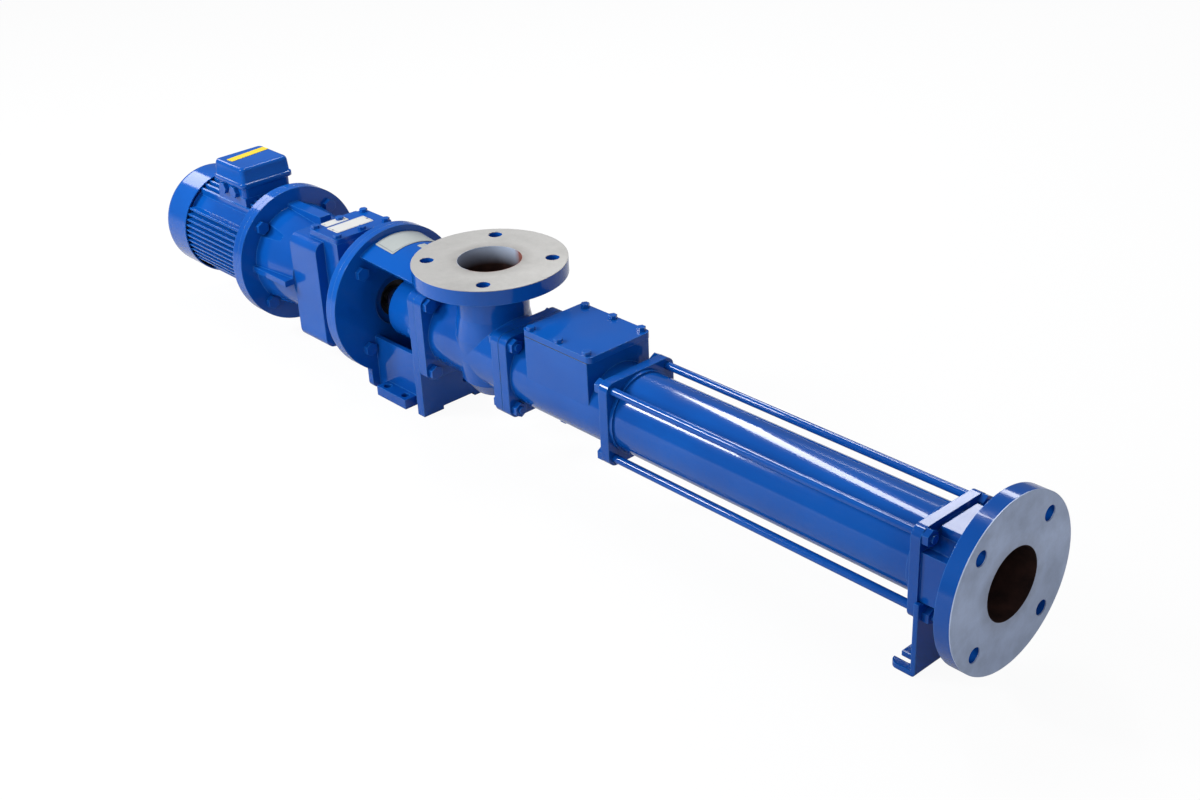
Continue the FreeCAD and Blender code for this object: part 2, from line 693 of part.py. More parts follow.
def gearbox_cover():
    piece = Piece("gearbox_cover")
    level = "gearbox_top + gearbox_pad_height"
    piece.block("cover", ("gearbox_front - gearbox_cover_length", "-gearbox_cover_half", level),
                ("gearbox_cover_length", "2 * gearbox_cover_half", "gearbox_cover_thickness"))
    piece.fillet("5", lambda edge: runs_along(edge, 2))
    bolts = Piece("gearbox_cover_bolts")
    middle = "gearbox_front - gearbox_cover_length / 2"
    for across in ("-gearbox_cover_length / 2 + 7", "gearbox_cover_length / 2 - 7"):
        for side in ("-gearbox_cover_half + 7", "0", "gearbox_cover_half - 7"):
            at = ("%s + (%s)" % (middle, across), side, level + " + gearbox_cover_thickness")
            piece.cylinder("hole", (at[0], side, level + " - 1"), "small_bolt_radius + thread_gap",
                           "12", ALONG_Z, True)
            GEARBOX.cylinder("thread", (at[0], side, level + " - 9"), "small_bolt_radius + thread_gap", "10",
                             ALONG_Z, True)
            bolts.bolt(at, "gearbox_cover_thickness + 7", ALONG_Z, back=True, small=True)


def gear_outline(teeth, phase, axis_up, direction=1):
    """The toothed outline of a spur gear in the YZ plane, with involute flanks as arcs."""
    module = number("gear_module")
    backlash = number("gear_backlash")
    pitch_radius = module * teeth / 2
    base = pitch_radius * math.cos(math.radians(20))
    tip = pitch_radius + module
    root = pitch_radius - 1.25 * module
    half_tooth = (math.pi * module / 2 - backlash / 2) / (2 * pitch_radius)
    involute = lambda r: math.tan(math.acos(min(1, base / r))) - math.acos(min(1, base / r))
    at_pitch = involute(pitch_radius)

    def place(radius, angle):
        return Vector(0, radius * math.cos(angle), radius * math.sin(angle) + axis_up)

    edges = []
    low = max(base, root)
    middle = (low + tip) / 2
    for tooth in range(teeth):
        centre = phase + 2 * math.pi * tooth / teeth
        spread = [half_tooth + at_pitch - involute(r) for r in (low, middle, tip)]
        rise = [place(r, centre - s) for r, s in zip((low, middle, tip), spread)]
        fall = [place(r, centre + s) for r, s in zip((low, middle, tip), spread)]
        foot = [place(root, centre - spread[0]), place(root, centre + spread[0])]
        following = place(root, centre + 2 * math.pi / teeth - spread[0])
        if root < low:
            edges.append(Part.makeLine(foot[0], rise[0]))
        edges.append(Part.Arc(*rise).toShape())
        edges.append(Part.Arc(rise[2], place(tip, centre), fall[2]).toShape())
        edges.append(Part.Arc(fall[2], fall[1], fall[0]).toShape())
        if root < low:
            edges.append(Part.makeLine(fall[0], foot[1]))
        edges.append(Part.Arc(foot[1], place(root, centre + math.pi / teeth), following).toShape())
    return Part.Wire(edges)


def gear(label, teeth_alias, start, width, bore_radius, axis_up="0", phase=0.0):
    """A spur gear: the toothed outline is a formula, so its shape is set from the sheet's sizes."""
    made = doc.addObject("Part::Feature", label)
    made.Label = label
    outline = gear_outline(number_of(teeth_alias), phase, number(axis_up))
    solid = Part.Face(outline).extrude(Vector(number(width), 0, 0))
    centre = Vector(-1, 0, number(axis_up))
    bore = Part.makeCylinder(number(bore_radius), number(width) + 2, centre, Vector(1, 0, 0))
    made.Shape = solid.cut(bore)
    seat(made, (start, "0", "shaft_height"))
    shapes.append(made)
    return made


shapes = []


def gear_train():
    down = -math.pi / 2
    up = math.pi / 2
    half_step = math.pi / number_of("input_gear_teeth")
    gear("input_pinion", "input_pinion_teeth", "input_stage", "input_gear_width + 2",
         "motor_pinion_shaft_radius", "0", down)
    gear("intermediate_gear", "input_gear_teeth", "input_stage + 1", "input_gear_width",
         "countershaft_radius + 3", "-gear_centres", up + half_step)
    half_step = math.pi / number_of("output_gear_teeth")
    gear("countershaft_pinion", "output_pinion_teeth", "output_stage", "output_gear_width + 2",
         "countershaft_radius", "-gear_centres", up)
    gear("output_gear", "output_gear_teeth", "output_stage + 1", "output_gear_width",
         "output_shaft_radius + 2.5", "0", down + half_step)
    shaft = Piece("countershaft", ("0", "0", "shaft_height - gear_centres"))
    shaft.turned("shaft", [
        ("cavity_rear - 7", "0"),
        ("cavity_rear - 7", "countershaft_radius"),
        ("cavity_rear + 2", "countershaft_radius"),
        ("cavity_rear + 2", "countershaft_radius + 3"),
        ("input_stage + input_gear_width + 5", "countershaft_radius + 3"),
        ("input_stage + input_gear_width + 5", "countershaft_radius"),
        ("cavity_front + 7", "countershaft_radius"),
        ("cavity_front + 7", "0")])


def gearbox_shafts():
    shaft = Piece("output_shaft")
    shaft.turned("shaft", [
        ("output_stage - 2", "0"),
        ("output_stage - 2", "output_shaft_radius + 2.5"),
        ("output_stage + output_gear_width + 1", "output_shaft_radius + 2.5"),
        ("output_stage + output_gear_width + 1", "output_shaft_radius + 5"),
        ("cavity_front + 2.5", "output_shaft_radius + 5"),
        ("cavity_front + 2.5", "output_shaft_radius"),
        ("output_shaft_end", "output_shaft_radius"),
        ("output_shaft_end", "0")])
    shaft.cylinder("pin_hole", ("sleeve_start + 14", "0", "-30"), "4", "60", ALONG_Z, True)
    bearing("gearbox_bearings", [
        ("cavity_front + 3", "15", "output_shaft_radius", "26", "0"),
        ("gearbox_neck_start - 18", "15", "output_shaft_radius", "26", "0"),
        ("cavity_rear - 8", "8", "countershaft_radius", "16", "-gear_centres"),
        ("cavity_front", "8", "countershaft_radius", "16", "-gear_centres")])
    seal = Piece("oil_seal")
    seal.turned("seal", [
        ("gearbox_neck_start - 1", "output_shaft_radius + fit_gap"), ("gearbox_neck_start - 1", "26"),
        ("gearbox_neck_start + 7", "26"), ("gearbox_neck_start + 7", "18"),
        ("gearbox_neck_start + 3", "output_shaft_radius + fit_gap")])


def lantern_bolts():
    piece = Piece("lantern_bolts")
    for across, up in ring("lantern_bolt_circle_radius", 4, 45):
        piece.bolt(("lantern_rear + lantern_ring_thickness", across, up),
                   "lantern_ring_thickness + gearbox_flange_thickness", back=True)


# Lantern, drive shaft and shaft seal
def lantern():
    piece = Piece("lantern")
    half = "lantern_plate_half"
    base = "-shaft_height"
    ring_front = "lantern_rear + lantern_ring_thickness"
    span = "lantern_plate_rear - (%s)" % ring_front
    rear_low, front_low = "lantern_shell_radius - lantern_wall", "lantern_shell_front_radius - lantern_wall"
    piece.block("box", (ring_front, "-lantern_box_half", base),
                (span, "2 * lantern_box_half", "window_bottom + shaft_height"))
    piece.block("tray", (ring_front, "-lantern_box_half + lantern_wall", base + " + foot_pad_height"),
                (span, "2 * (lantern_box_half - lantern_wall)", "window_bottom + shaft_height"), cut=True)
    piece.block("plate", ("lantern_plate_rear", "-" + half, base),
                ("lantern_plate_thickness", "2 * " + half, half + " + shaft_height"))
    piece.fillet("casing_corner_radius", lambda edge: runs_along(edge, 0)
                 and edge.BoundBox.ZMin > number(half) - 1e-3)
    piece.turned("plate_arch", [
        ("lantern_plate_rear", "0"), ("lantern_plate_rear", "lantern_shell_front_radius"),
        ("lantern_front", "lantern_shell_front_radius"), ("lantern_front", "0")], angle="lantern_roof_angle")
    piece.turned("roof", [("lantern_rear", rear_low), ("lantern_rear", "lantern_shell_radius"),
                          ("lantern_plate_rear", "lantern_shell_front_radius"), ("lantern_plate_rear", front_low)],
                 angle="lantern_roof_angle")
    piece.cylinder("ring", ("lantern_rear", "0", "0"), "lantern_ring_radius", "lantern_ring_thickness")
    piece.block("leg", ("lantern_rear", "-lantern_leg_half", base),
                ("lantern_ring_thickness", "2 * lantern_leg_half", "shaft_height - 60"))
    piece.fillet("8", lambda edge: runs_along(edge, 0) and edge.BoundBox.ZMax < number(base) + 1e-3
                 and edge.BoundBox.XMax < number(ring_front) + 1e-3)
    for side in ("-lantern_box_half - foot_pad_width", "lantern_box_half - 1"):
        piece.block("pad", ("-foot_pad_half_length", side, base),
                    ("2 * foot_pad_half_length", "foot_pad_width + 1", "foot_pad_height"))
    piece.block("arch", ("lantern_rear - 1", "-lantern_arch_half", base + " - 1"),
                ("lantern_length + 2", "2 * lantern_arch_half", "lantern_arch_height + 1"), cut=True)
    piece.cylinder("ring_bore", ("lantern_rear - 1", "0", "0"), "lantern_ring_bore_radius",
                   "lantern_ring_thickness + 2", cut=True)
    piece.cylinder("seal_bore", ("lantern_plate_rear - 1", "0", "0"), "seal_pilot_radius + fit_gap",
                   "lantern_plate_thickness + 2", cut=True)
    piece.cylinder("drain", ("lantern_plate_rear - 1", "14", "-86"), "6",
                   "lantern_plate_thickness + 2", cut=True)
    for along, across in four("foot_bolt_half_x", "foot_bolt_half_y"):
        piece.cylinder("foot_hole", (along, across, base + " - 1"), "foot_bolt_hole_radius",
                       "foot_pad_height + 2", ALONG_Z, True)
    for across, up in ring("lantern_bolt_circle_radius", 4, 45):
        piece.cylinder("ring_hole", ("lantern_rear - 1", across, up), "bolt_radius + thread_gap",
                       "lantern_ring_thickness + 2", cut=True)
    for across, up in four("lantern_bolt_offset"):
        piece.cylinder("casing_thread", ("lantern_plate_rear - 1", across, up), "bolt_radius + thread_gap",
                       "lantern_plate_thickness + 2", cut=True)
    for across, up in ring("seal_bolt_circle_radius", 4, 0):
        piece.cylinder("seal_thread", ("lantern_plate_rear - 1", across, up),
                       "small_bolt_radius + thread_gap",
                       "10", cut=True)
    return piece


def drive_shaft():
    piece = Piece("plug_in_shaft")
    piece.turned("shaft", [
        ("sleeve_start", "output_shaft_radius"),
        ("sleeve_start", "drive_sleeve_radius"),
        ("sleeve_start + drive_sleeve_length", "drive_sleeve_radius"),
        ("sleeve_start + drive_sleeve_length", "drive_shaft_radius"),
        ("head_start", "drive_shaft_radius"),
        ("head_start", "joint_head_radius"),
        ("head_end", "joint_head_radius"),
        ("head_end", "joint_cup_radius"),
        ("head_start + joint_head_web", "joint_cup_radius"),
        ("head_start + joint_head_web", "0"),
        ("output_shaft_end", "0"),
        ("output_shaft_end", "output_shaft_radius")])
    piece.cylinder("pin_hole", ("sleeve_start + 14", "0", "-30"), "4", "60", ALONG_Z, True)
    piece.cylinder("joint_pin_hole", ("drive_ball", "0", "-30"), "joint_pin_radius", "60", ALONG_Z, True)
    pin = Piece("shaft_pin")
    pin.cylinder("pin", ("sleeve_start + 14", "0", "-drive_sleeve_radius + 0.5"), "4",
                 "2 * drive_sleeve_radius - 1",
                 ALONG_Z)
    clip = Piece("pin_sleeve")
    clip.turned("sleeve", [("sleeve_start + 8", "drive_sleeve_radius"), ("sleeve_start + 8", "drive_sleeve_radius + 3"),
                           ("sleeve_start + 20", "drive_sleeve_radius + 3"),
                           ("sleeve_start + 20", "drive_sleeve_radius")])
    splash = Piece("splash_ring")
    start = "sleeve_start + drive_sleeve_length"
    splash.turned("ring", [(start, "drive_shaft_radius"), (start, "splash_ring_radius"),
                           (start + " + splash_ring_width / 3", "splash_ring_radius"),
                           (start + " + splash_ring_width", "drive_shaft_radius + 5"),
                           (start + " + splash_ring_width", "drive_shaft_radius")])


def shaft_seal():
    house = Piece("seal_housing")
    house.turned("housing", [
        ("seal_body_rear", "drive_shaft_radius + 1"),
        ("seal_body_rear", "seal_body_radius - seal_skirt_wall"),
        ("seal_skirt_rear", "seal_body_radius - seal_skirt_wall"),
        ("seal_skirt_rear", "seal_body_radius - 2"),
        ("seal_skirt_rear + 2", "seal_body_radius"),
        ("seal_flange_rear", "seal_body_radius"),
        ("seal_flange_rear", "seal_flange_radius"),
        ("lantern_plate_rear", "seal_flange_radius"),
        ("lantern_plate_rear", "seal_pilot_radius"),
        ("seal_face", "seal_pilot_radius"),
        ("seal_face", "seal_chamber_radius"),
        ("seal_body_rear + seal_wall", "seal_chamber_radius"),
        ("seal_body_rear + seal_wall", "drive_shaft_radius + 1")])
    bolts = Piece("seal_housing_bolts")
    for across, up in ring("seal_bolt_circle_radius", 4, 0):
        house.cylinder("hole", ("seal_flange_rear - 1", across, up), "small_bolt_radius + thread_gap",
                       "seal_flange_thickness + 2", cut=True)
        bolts.bolt(("seal_flange_rear", across, up), "seal_flange_thickness + 8", small=True)
    still = Piece("seal_stationary_ring")
    still.turned("ring", [("seal_face - seal_ring_width", "drive_shaft_radius + 1"),
                          ("seal_face - seal_ring_width", "seal_chamber_radius"),
                          ("seal_face", "seal_chamber_radius"),
                          ("seal_face", "drive_shaft_radius + 1")])
    turning = Piece("seal_rotating_ring")
    start = "seal_face + fit_gap"
    turning.turned("ring", [(start, "drive_shaft_radius"), (start, "seal_ring_radius"),
                            (start + " + seal_ring_width", "seal_ring_radius"),
                            (start + " + seal_ring_width", "drive_shaft_radius")])
    coil = "drive_shaft_radius + 5"
    wire = "1.5"
    rear = start + " + seal_ring_width + " + wire
    helix = doc.addObject("Part::Helix", "seal_spring_path")
    bind(helix, "Radius", coil)
    bind(helix, "Height", "head_start - (%s) - %s" % (rear, wire))
    bind(helix, "Pitch", "(head_start - (%s) - %s) / 2.5" % (rear, wire))
    section = doc.addObject("Part::Circle", "seal_spring_wire")
    bind(section, "Radius", wire)
    section.Placement = FreeCAD.Placement(Vector(), ALONG_Y)
    bind(section, "Placement.Base.x", coil)
    spring = doc.addObject("Part::Sweep", "seal_spring")
    spring.Label = "seal_spring"
    spring.Sections = [section]
    spring.Spine = (helix, ["Edge1"])
    spring.Solid = True
    spring.Frenet = True
    spring.Placement = FreeCAD.Placement(Vector(), ALONG_X)
    seat(spring, (rear, "0", "shaft_height"))
    shapes.append(spring)


# Suction casing
def suction_casing():
    piece = Piece("suction_casing")
    square_plate(piece, "rear_flange", "lantern_front", "casing_rear_flange_half",
                 "casing_rear_flange_thickness")
    front = "casing_joint - casing_flange_thickness"
    square_plate(piece, "front_flange", front, "casing_flange_half", "casing_flange_thickness")
    piece.cylinder("barrel", ("lantern_front", "0", "0"), "casing_barrel_radius", "suction_casing_length")
    piece.turned("bulb", [
        ("0", "-casing_barrel_radius - 9"), ("bulb_radius * 0.6", "-casing_barrel_radius - 7"),
        ("bulb_radius * 0.9", "-40"), ("bulb_radius", "-8"), ("bulb_radius", "22"),
        ("port_neck_radius", "50"), ("port_neck_radius", "suction_face_height - port_flange_thickness"),
        ("0", "suction_face_height - port_flange_thickness")], upright=True, at=("suction_axis", "0", "0"))
    piece.cylinder("port_flange", ("suction_axis", "0", "suction_face_height - port_flange_thickness"),
                   "port_flange_radius", "port_flange_thickness", ALONG_Z)
    for across, up in four("casing_bolt_offset"):
        piece.cylinder("nut_pocket", ("%s - 22" % front, across, up), "pocket_radius", "22", cut=True)
        piece.cylinder("joint_hole", (front + " - 1", across, up), "bolt_radius + thread_gap",
                       "casing_flange_thickness + 2", cut=True)
    for across, up in four("lantern_bolt_offset"):
        piece.cylinder("lantern_hole", ("lantern_front - 1", across, up), "bolt_radius + thread_gap",
                       "casing_rear_flange_thickness + 2", cut=True)
    for across, up in PORT_TURNS:
        piece.cylinder("port_hole", ("suction_axis + " + across, up,
                                     "suction_face_height - port_flange_thickness - 1"),
                       "port_hole_radius", "port_flange_thickness + 2", ALONG_Z, True)
    piece.turned("chamber", [
        ("0", "-casing_bore_radius - 9"), ("bulb_chamber_radius * 0.7", "-casing_bore_radius - 7"),
        ("bulb_chamber_radius * 0.92", "-36"), ("bulb_chamber_radius", "-6"), ("bulb_chamber_radius", "20"),
        ("port_bore_radius", "48"),
        ("port_bore_radius", "suction_face_height"), ("0", "suction_face_height")],
        upright=True, at=("suction_axis", "0", "0"), cut=True)
    piece.cylinder("pilot_bore", ("lantern_front - 1", "0", "0"), "seal_pilot_radius + fit_gap",
                   "casing_rear_flange_thickness + 2", cut=True)
    piece.cylinder("bore", ("lantern_front + casing_rear_flange_thickness", "0", "0"), "casing_bore_radius",
                   "suction_casing_length", cut=True)
    bolts = Piece("suction_casing_bolts")
    for across, up in four("lantern_bolt_offset"):
        bolts.bolt(("lantern_front + casing_rear_flange_thickness", across, up),
                   "casing_rear_flange_thickness + lantern_plate_thickness", back=True)
    return piece


def casing_joint_fasteners():
    seal = Piece("casing_gasket")
    seal.turned("gasket", [("casing_joint", "casing_bore_radius + 1"), ("joint_casing_start", "casing_bore_radius + 1"),
                           ("joint_casing_start", "casing_barrel_radius + 4"),
                           ("casing_joint", "casing_barrel_radius + 4")])
    bolts = Piece("joint_casing_bolts")
    nuts = Piece("joint_casing_nuts")
    rear = "casing_joint - casing_flange_thickness"
    nut_seat = "joint_casing_start + casing_flange_thickness"
    for across, up in four("casing_bolt_offset"):
        seal.cylinder("hole", ("casing_joint - 1", across, up), "bolt_radius + 1", "4", cut=True)
        bolts.bolt((rear, across, up), "2 * casing_flange_thickness + gasket_thickness + nut_height + 3")
        nuts.hexagon("nut", (nut_seat, across, up), "bolt_corner_radius", "nut_height")
        nuts.cylinder("thread", (nut_seat + " - 1", across, up), "bolt_radius + thread_gap", "nut_height + 2",
                      cut=True)


# Joint casing
def joint_casing():
    piece = Piece("joint_casing")
    start = "joint_casing_start"
    plate = "stator_start - casing_flange_thickness"
    square_plate(piece, "rear_flange", start, "casing_flange_half", "casing_flange_thickness")
    square_plate(piece, "stator_plate", plate, "end_plate_half", "casing_flange_thickness")
    piece.cylinder("barrel", (start, "0", "0"), "casing_barrel_radius", "joint_casing_length")
    piece.block("box", ("box_start", "-inspection_box_half", "0"),
                ("inspection_box_length", "2 * inspection_box_half", "inspection_box_top"))
    piece.cylinder("bore", (start + " - 1", "0", "0"), "casing_bore_radius", "joint_casing_length + 2",
                   cut=True)
    piece.block("opening", ("box_start + inspection_box_wall",
                            "-inspection_box_half + inspection_box_wall", "0"),
                ("inspection_box_length - 2 * inspection_box_wall",
                 "2 * (inspection_box_half - inspection_box_wall)",
                 "inspection_box_top + 1"), cut=True)
    piece.cylinder("stator_seat", ("stator_start - stator_seat_depth", "0", "0"), "stator_tube_radius",
                   "stator_seat_depth + 1", cut=True)
    for across, up in four("casing_bolt_offset"):
        piece.cylinder("flange_hole", (start + " - 1", across, up), "bolt_radius + thread_gap",
                       "casing_flange_thickness + 2", cut=True)
    for across, up in four("tie_rod_offset"):
        piece.cylinder("rod_hole", (plate + " - 1", across, up), "tie_rod_radius + thread_gap",
                       "casing_flange_thickness + 2", cut=True)
    piece.cylinder("drain_boss", ("box_start + 12", "0", "-casing_barrel_radius - 5"), "11", "14", ALONG_Z)
    piece.cylinder("drain_thread", ("box_start + 12", "0", "-casing_barrel_radius - 6"),
                   "7 + thread_gap", "16",
                   ALONG_Z, True)
    plug = Piece("drain_plug")
    plug.hexagon("head", ("box_start + 12", "0", "-casing_barrel_radius - 11"), "9", "6", ALONG_Z)
    plug.cylinder("thread", ("box_start + 12", "0", "-casing_barrel_radius - 5"), "7", "9", ALONG_Z)
    return piece


def inspection_cover(casing):
    seal = Piece("inspection_gasket")
    seal.block("gasket", ("box_start", "-inspection_box_half", "inspection_box_top"),
               ("inspection_box_length", "2 * inspection_box_half", "gasket_thickness"))
    seal.block("opening", ("box_start + inspection_box_wall", "-inspection_box_half + inspection_box_wall",
                           "inspection_box_top - 1"),
               ("inspection_box_length - 2 * inspection_box_wall",
                "2 * (inspection_box_half - inspection_box_wall)", "gasket_thickness + 2"), cut=True)
    cover = Piece("inspection_cover")
    over = "inspection_cover_overhang"
    cover.block("cover", ("box_start - " + over, "-inspection_box_half", "cover_level"),
                ("inspection_box_length + 2 * " + over, "2 * inspection_box_half",
                 "inspection_cover_thickness"))
    cover.fillet("7", lambda edge: runs_along(edge, 2))
    bolts = Piece("inspection_cover_bolts")
    edge_in = "6"
    for along in ("box_start + " + edge_in, "box_start + inspection_box_length / 2",
                  "box_start + inspection_box_length - " + edge_in):
        for across in ("-inspection_box_half + " + edge_in, "inspection_box_half - " + edge_in):
            for part, low in ((casing, "inspection_box_top - 12"), (seal, "inspection_box_top - 1"),
                              (cover, "cover_level - 1")):
                part.cylinder("hole", (along, across, low), "small_bolt_radius + thread_gap",
                              "inspection_cover_thickness + 6", ALONG_Z, True)
            bolts.bolt((along, across, "cover_level + inspection_cover_thickness"),
                       "inspection_cover_thickness + gasket_thickness + 9", ALONG_Z, back=True, small=True)


# Rotor, coupling rod and joints
def coupling_rod():
    """The rod lies on the line between the two joint centres, tilted by the eccentricity."""
    piece = Piece("coupling_rod", ("drive_ball", "0", "shaft_height"))
    piece.body.Placement = FreeCAD.Placement(Vector(), FreeCAD.Rotation(Vector(0, 0, 1), 1))
    seat(piece.body, ("drive_ball", "0", "shaft_height"))
    bind(piece.body, "Placement.Rotation.Angle", "asin(eccentricity / rod_span)")
    ball, groove, half = "joint_ball_radius", "joint_groove_radius", "joint_groove_half"
    reach = "joint_ball_radius - 4"
    piece.turned("rod", [
        ("-(%s)" % reach, "0"), ("-(%s)" % reach, ball + " * 0.7"), ("-" + half, ball), ("-" + half, groove),
        (half, groove), (half, ball), (reach, ball + " * 0.8"), (reach + " + 6", "rod_radius"),
        ("rod_span - (%s) - 6" % reach, "rod_radius"), ("rod_span - (%s)" % reach, ball + " * 0.8"),
        ("rod_span - " + half, ball), ("rod_span - " + half, groove), ("rod_span + " + half, groove),
        ("rod_span + " + half, ball), ("rod_span + " + reach, ball + " * 0.7"), ("rod_span + " + reach, "0")])
    boots = Piece("joint_boots", ("drive_ball", "0", "shaft_height"))
    boots.body.Placement = piece.body.Placement
    seat(boots.body, ("drive_ball", "0", "shaft_height"))
    bind(boots.body, "Placement.Rotation.Angle", "asin(eccentricity / rod_span)")
    mouth = "head_end - drive_ball + joint_gap"
    for lip, tail in ((mouth, "%s + boot_length" % mouth),
                      ("rod_span - (%s)" % mouth, "rod_span - (%s) - boot_length" % mouth)):
        inward = "+" if lip == mouth else "-"
        past_ball = "%s %s 5" % (lip, inward)
        grip = "%s %s 11" % (lip, inward)
        boots.turned("boot", [(lip, ball + " + 1"), (lip, "boot_radius"), (tail, "rod_radius + 3"),
                              (tail, "rod_radius"), (grip, "rod_radius"), (past_ball, ball + " + 1")])


def rotor_end():
    start = "rotor_head_start"
    head = Piece("rotor_joint_head", ("0", "eccentricity", "shaft_height"))
    head.turned("head", [
        (start, "joint_cup_radius"), (start, "joint_head_radius"),
        ("rotor_start - 8", "joint_head_radius"), ("rotor_start - 8", "0"),
        ("rotor_start - 8 - joint_head_web", "0"), ("rotor_start - 8 - joint_head_web", "joint_cup_radius")])
    head.cylinder("pin_hole", ("rotor_ball", "0", "-30"), "joint_pin_radius", "60", ALONG_Z, True)
    for label, station, across in (("drive_joint_pins", "drive_ball", "0"),
                                   ("rotor_joint_pins", "rotor_ball", "eccentricity")):
        pins = Piece(label, ("0", across, "shaft_height"))
        length = "joint_head_radius - joint_groove_radius - joint_gap"
        for low in ("joint_groove_radius + joint_gap", "-joint_head_radius"):
            pins.cylinder("pin", (station, "0", low), "joint_pin_radius", length, ALONG_Z)


def rotor():
    """A round section moved along a helix without turning: every cut across it is a circle."""
    e, radius = number("eccentricity"), number("rotor_radius")
    start = number("rotor_start")
    length = number("stator_end") + 4 - start
    pitch = number("rotor_pitch")
    path = Part.Wire(Part.makeHelix(pitch, length, e).Edges)
    screw = Part.BRepOffsetAPI.MakePipeShell(path)
    screw.setTrihedronMode(Vector(), Vector(0, 0, 1))
    near, far = Vector(e - radius, 0, 0), Vector(e + radius, 0, 0)
    section = Part.Wire([Part.Arc(far, Vector(e, radius, 0), near).toShape(),
                         Part.Arc(near, Vector(e, -radius, 0), far).toShape()])
    screw.add(section, False, False)
    screw.build()
    screw.makeSolid()
    shank = Part.makeCylinder(radius - e, 8, Vector(0, 0, -8))
    solid = screw.shape().fuse(shank).removeSplitter()
    place_screw("rotor", solid, "rotor_start", "eccentricity")


def place_screw(label, solid, start, across):
    """Sets a solid drawn along Z onto the shaft line, its first direction pointing along +Y."""
    made = doc.addObject("Part::Feature", label)
    made.Label = label
    made.Shape = solid
    turn = ALONG_X.multiply(FreeCAD.Rotation(Vector(0, 0, 1), 90))
    made.Placement = FreeCAD.Placement(Vector(), turn)
    seat(made, (start, across, "shaft_height"))
    shapes.append(made)


def stator_elastomer():
    """The liner's cavity is a slot that turns half as fast as the rotor's helix."""
    e = number("eccentricity")
    half = number("rotor_radius + rotor_clearance")
    start = number("rotor_start")
    low, high = number("stator_start - stator_seat_depth"), number("stator_end + stator_seat_depth")
    length = high - low
    pitch = 2 * number("rotor_pitch")
    travel = 2 * e
    corners = [Vector(-travel, half, 0), Vector(travel, half, 0), Vector(travel, -half, 0),
               Vector(-travel, -half, 0)]
    slot = Part.Wire([
        Part.makeLine(corners[0], corners[1]),
        Part.Arc(corners[1], Vector(travel + half, 0, 0), corners[2]).toShape(),
        Part.makeLine(corners[2], corners[3]),
        Part.Arc(corners[3], Vector(-travel - half, 0, 0), corners[0]).toShape()])
    slot.rotate(Vector(), Vector(0, 0, 1), 360 * (low - start) / pitch)
    spine = Part.Wire([Part.makeLine(Vector(), Vector(0, 0, length))])
    guide = Part.Wire(Part.makeHelix(pitch, length, 60).Edges)
    cavity = Part.BRepOffsetAPI.MakePipeShell(spine)
    cavity.setAuxiliarySpine(guide, True, 0)
    cavity.add(slot, False, False)
    cavity.build()
    cavity.makeSolid()
    outer = Part.makeCylinder(number("stator_tube_radius - stator_tube_wall"), length)
    liner = outer.cut(cavity.shape())
    place_screw("stator_elastomer", liner.Solids[0].copy(), "stator_start - stator_seat_depth", "0")


def stator():
    tube = Piece("stator_tube")
    low, high = "stator_start - stator_seat_depth", "stator_end + stator_seat_depth"
    tube.turned("tube", [(low, "stator_tube_radius - stator_tube_wall"), (low, "stator_tube_radius"),
                         (high, "stator_tube_radius"), (high, "stator_tube_radius - stator_tube_wall")])
    collars = Piece("stator_collars")
    for start in ("stator_start", "stator_end - stator_collar_width"):
        end = start + " + stator_collar_width"
        collars.turned("collar", [(start, "stator_tube_radius"), (start,

                                                                                                                                   "stator_tube_radius + stator_collar_height"),
                                  (end, "stator_tube_radius + stator_collar_height"), (end, "stator_tube_radius")])
    rods = Piece("tie_rods")
    nuts = Piece("tie_rod_nuts")
    rear = "stator_start - casing_flange_thickness"
    for across, up in four("tie_rod_offset"):
        clamped = "foot_plate_end" if up.startswith("-") else "foot_plate_start"
        rods.cylinder("rod", (rear + " - nut_height - 3", across, up), "tie_rod_radius",
                      "%s - (%s) + 2 * nut_height + 6" % (clamped, rear))
        for start in (rear + " - nut_height", clamped):
            nuts.hexagon("nut", (start, across, up), "bolt_corner_radius", "nut_height")
            nuts.cylinder("thread", (start + " - 1", across, up), "tie_rod_radius + thread_gap",
                          "nut_height + 2",
                          cut=True)


# Discharge casing and its foot
def discharge_casing():
    piece = Piece("discharge_casing")
    square_plate(piece, "end_plate", "stator_end", "end_plate_half", "end_plate_thickness")
    length = "discharge_length - port_flange_thickness / 2"
    piece.cylinder("neck", ("stator_end", "0", "0"), "discharge_neck_radius", length)
    web = "discharge_web_half"
    piece.block("web", ("stator_end", "-end_plate_half + 3", "-" + web), (length, "2 * (end_plate_half - 3)", "2 * " + web))
    piece.block("web", ("foot_plate_end", "-" + web, "-end_plate_half + 3"),
                ("discharge_face - foot_plate_end - 5", "2 * " + web, "2 * (end_plate_half - 3)"))
    piece.cylinder("port_flange", ("discharge_face - port_flange_thickness", "0", "0"), "port_flange_radius",
                   "port_flange_thickness")
    for across, up in PORT_TURNS:
        piece.cylinder("port_hole", ("discharge_face - port_flange_thickness - 1", across, up),
                       "port_hole_radius",
                       "port_flange_thickness + 2", cut=True)
    for across, up in four("tie_rod_offset"):
        piece.cylinder("rod_hole", ("stator_end - 1", across, up), "tie_rod_radius + thread_gap",
                       "end_plate_thickness + 2", cut=True)
    piece.cylinder("bore", ("stator_end - 1", "0", "0"), "port_bore_radius", "discharge_length + 2", cut=True)
    piece.cylinder("stator_seat", ("stator_end - 1", "0", "0"), "stator_tube_radius", "stator_seat_depth + 1",
                   cut=True)


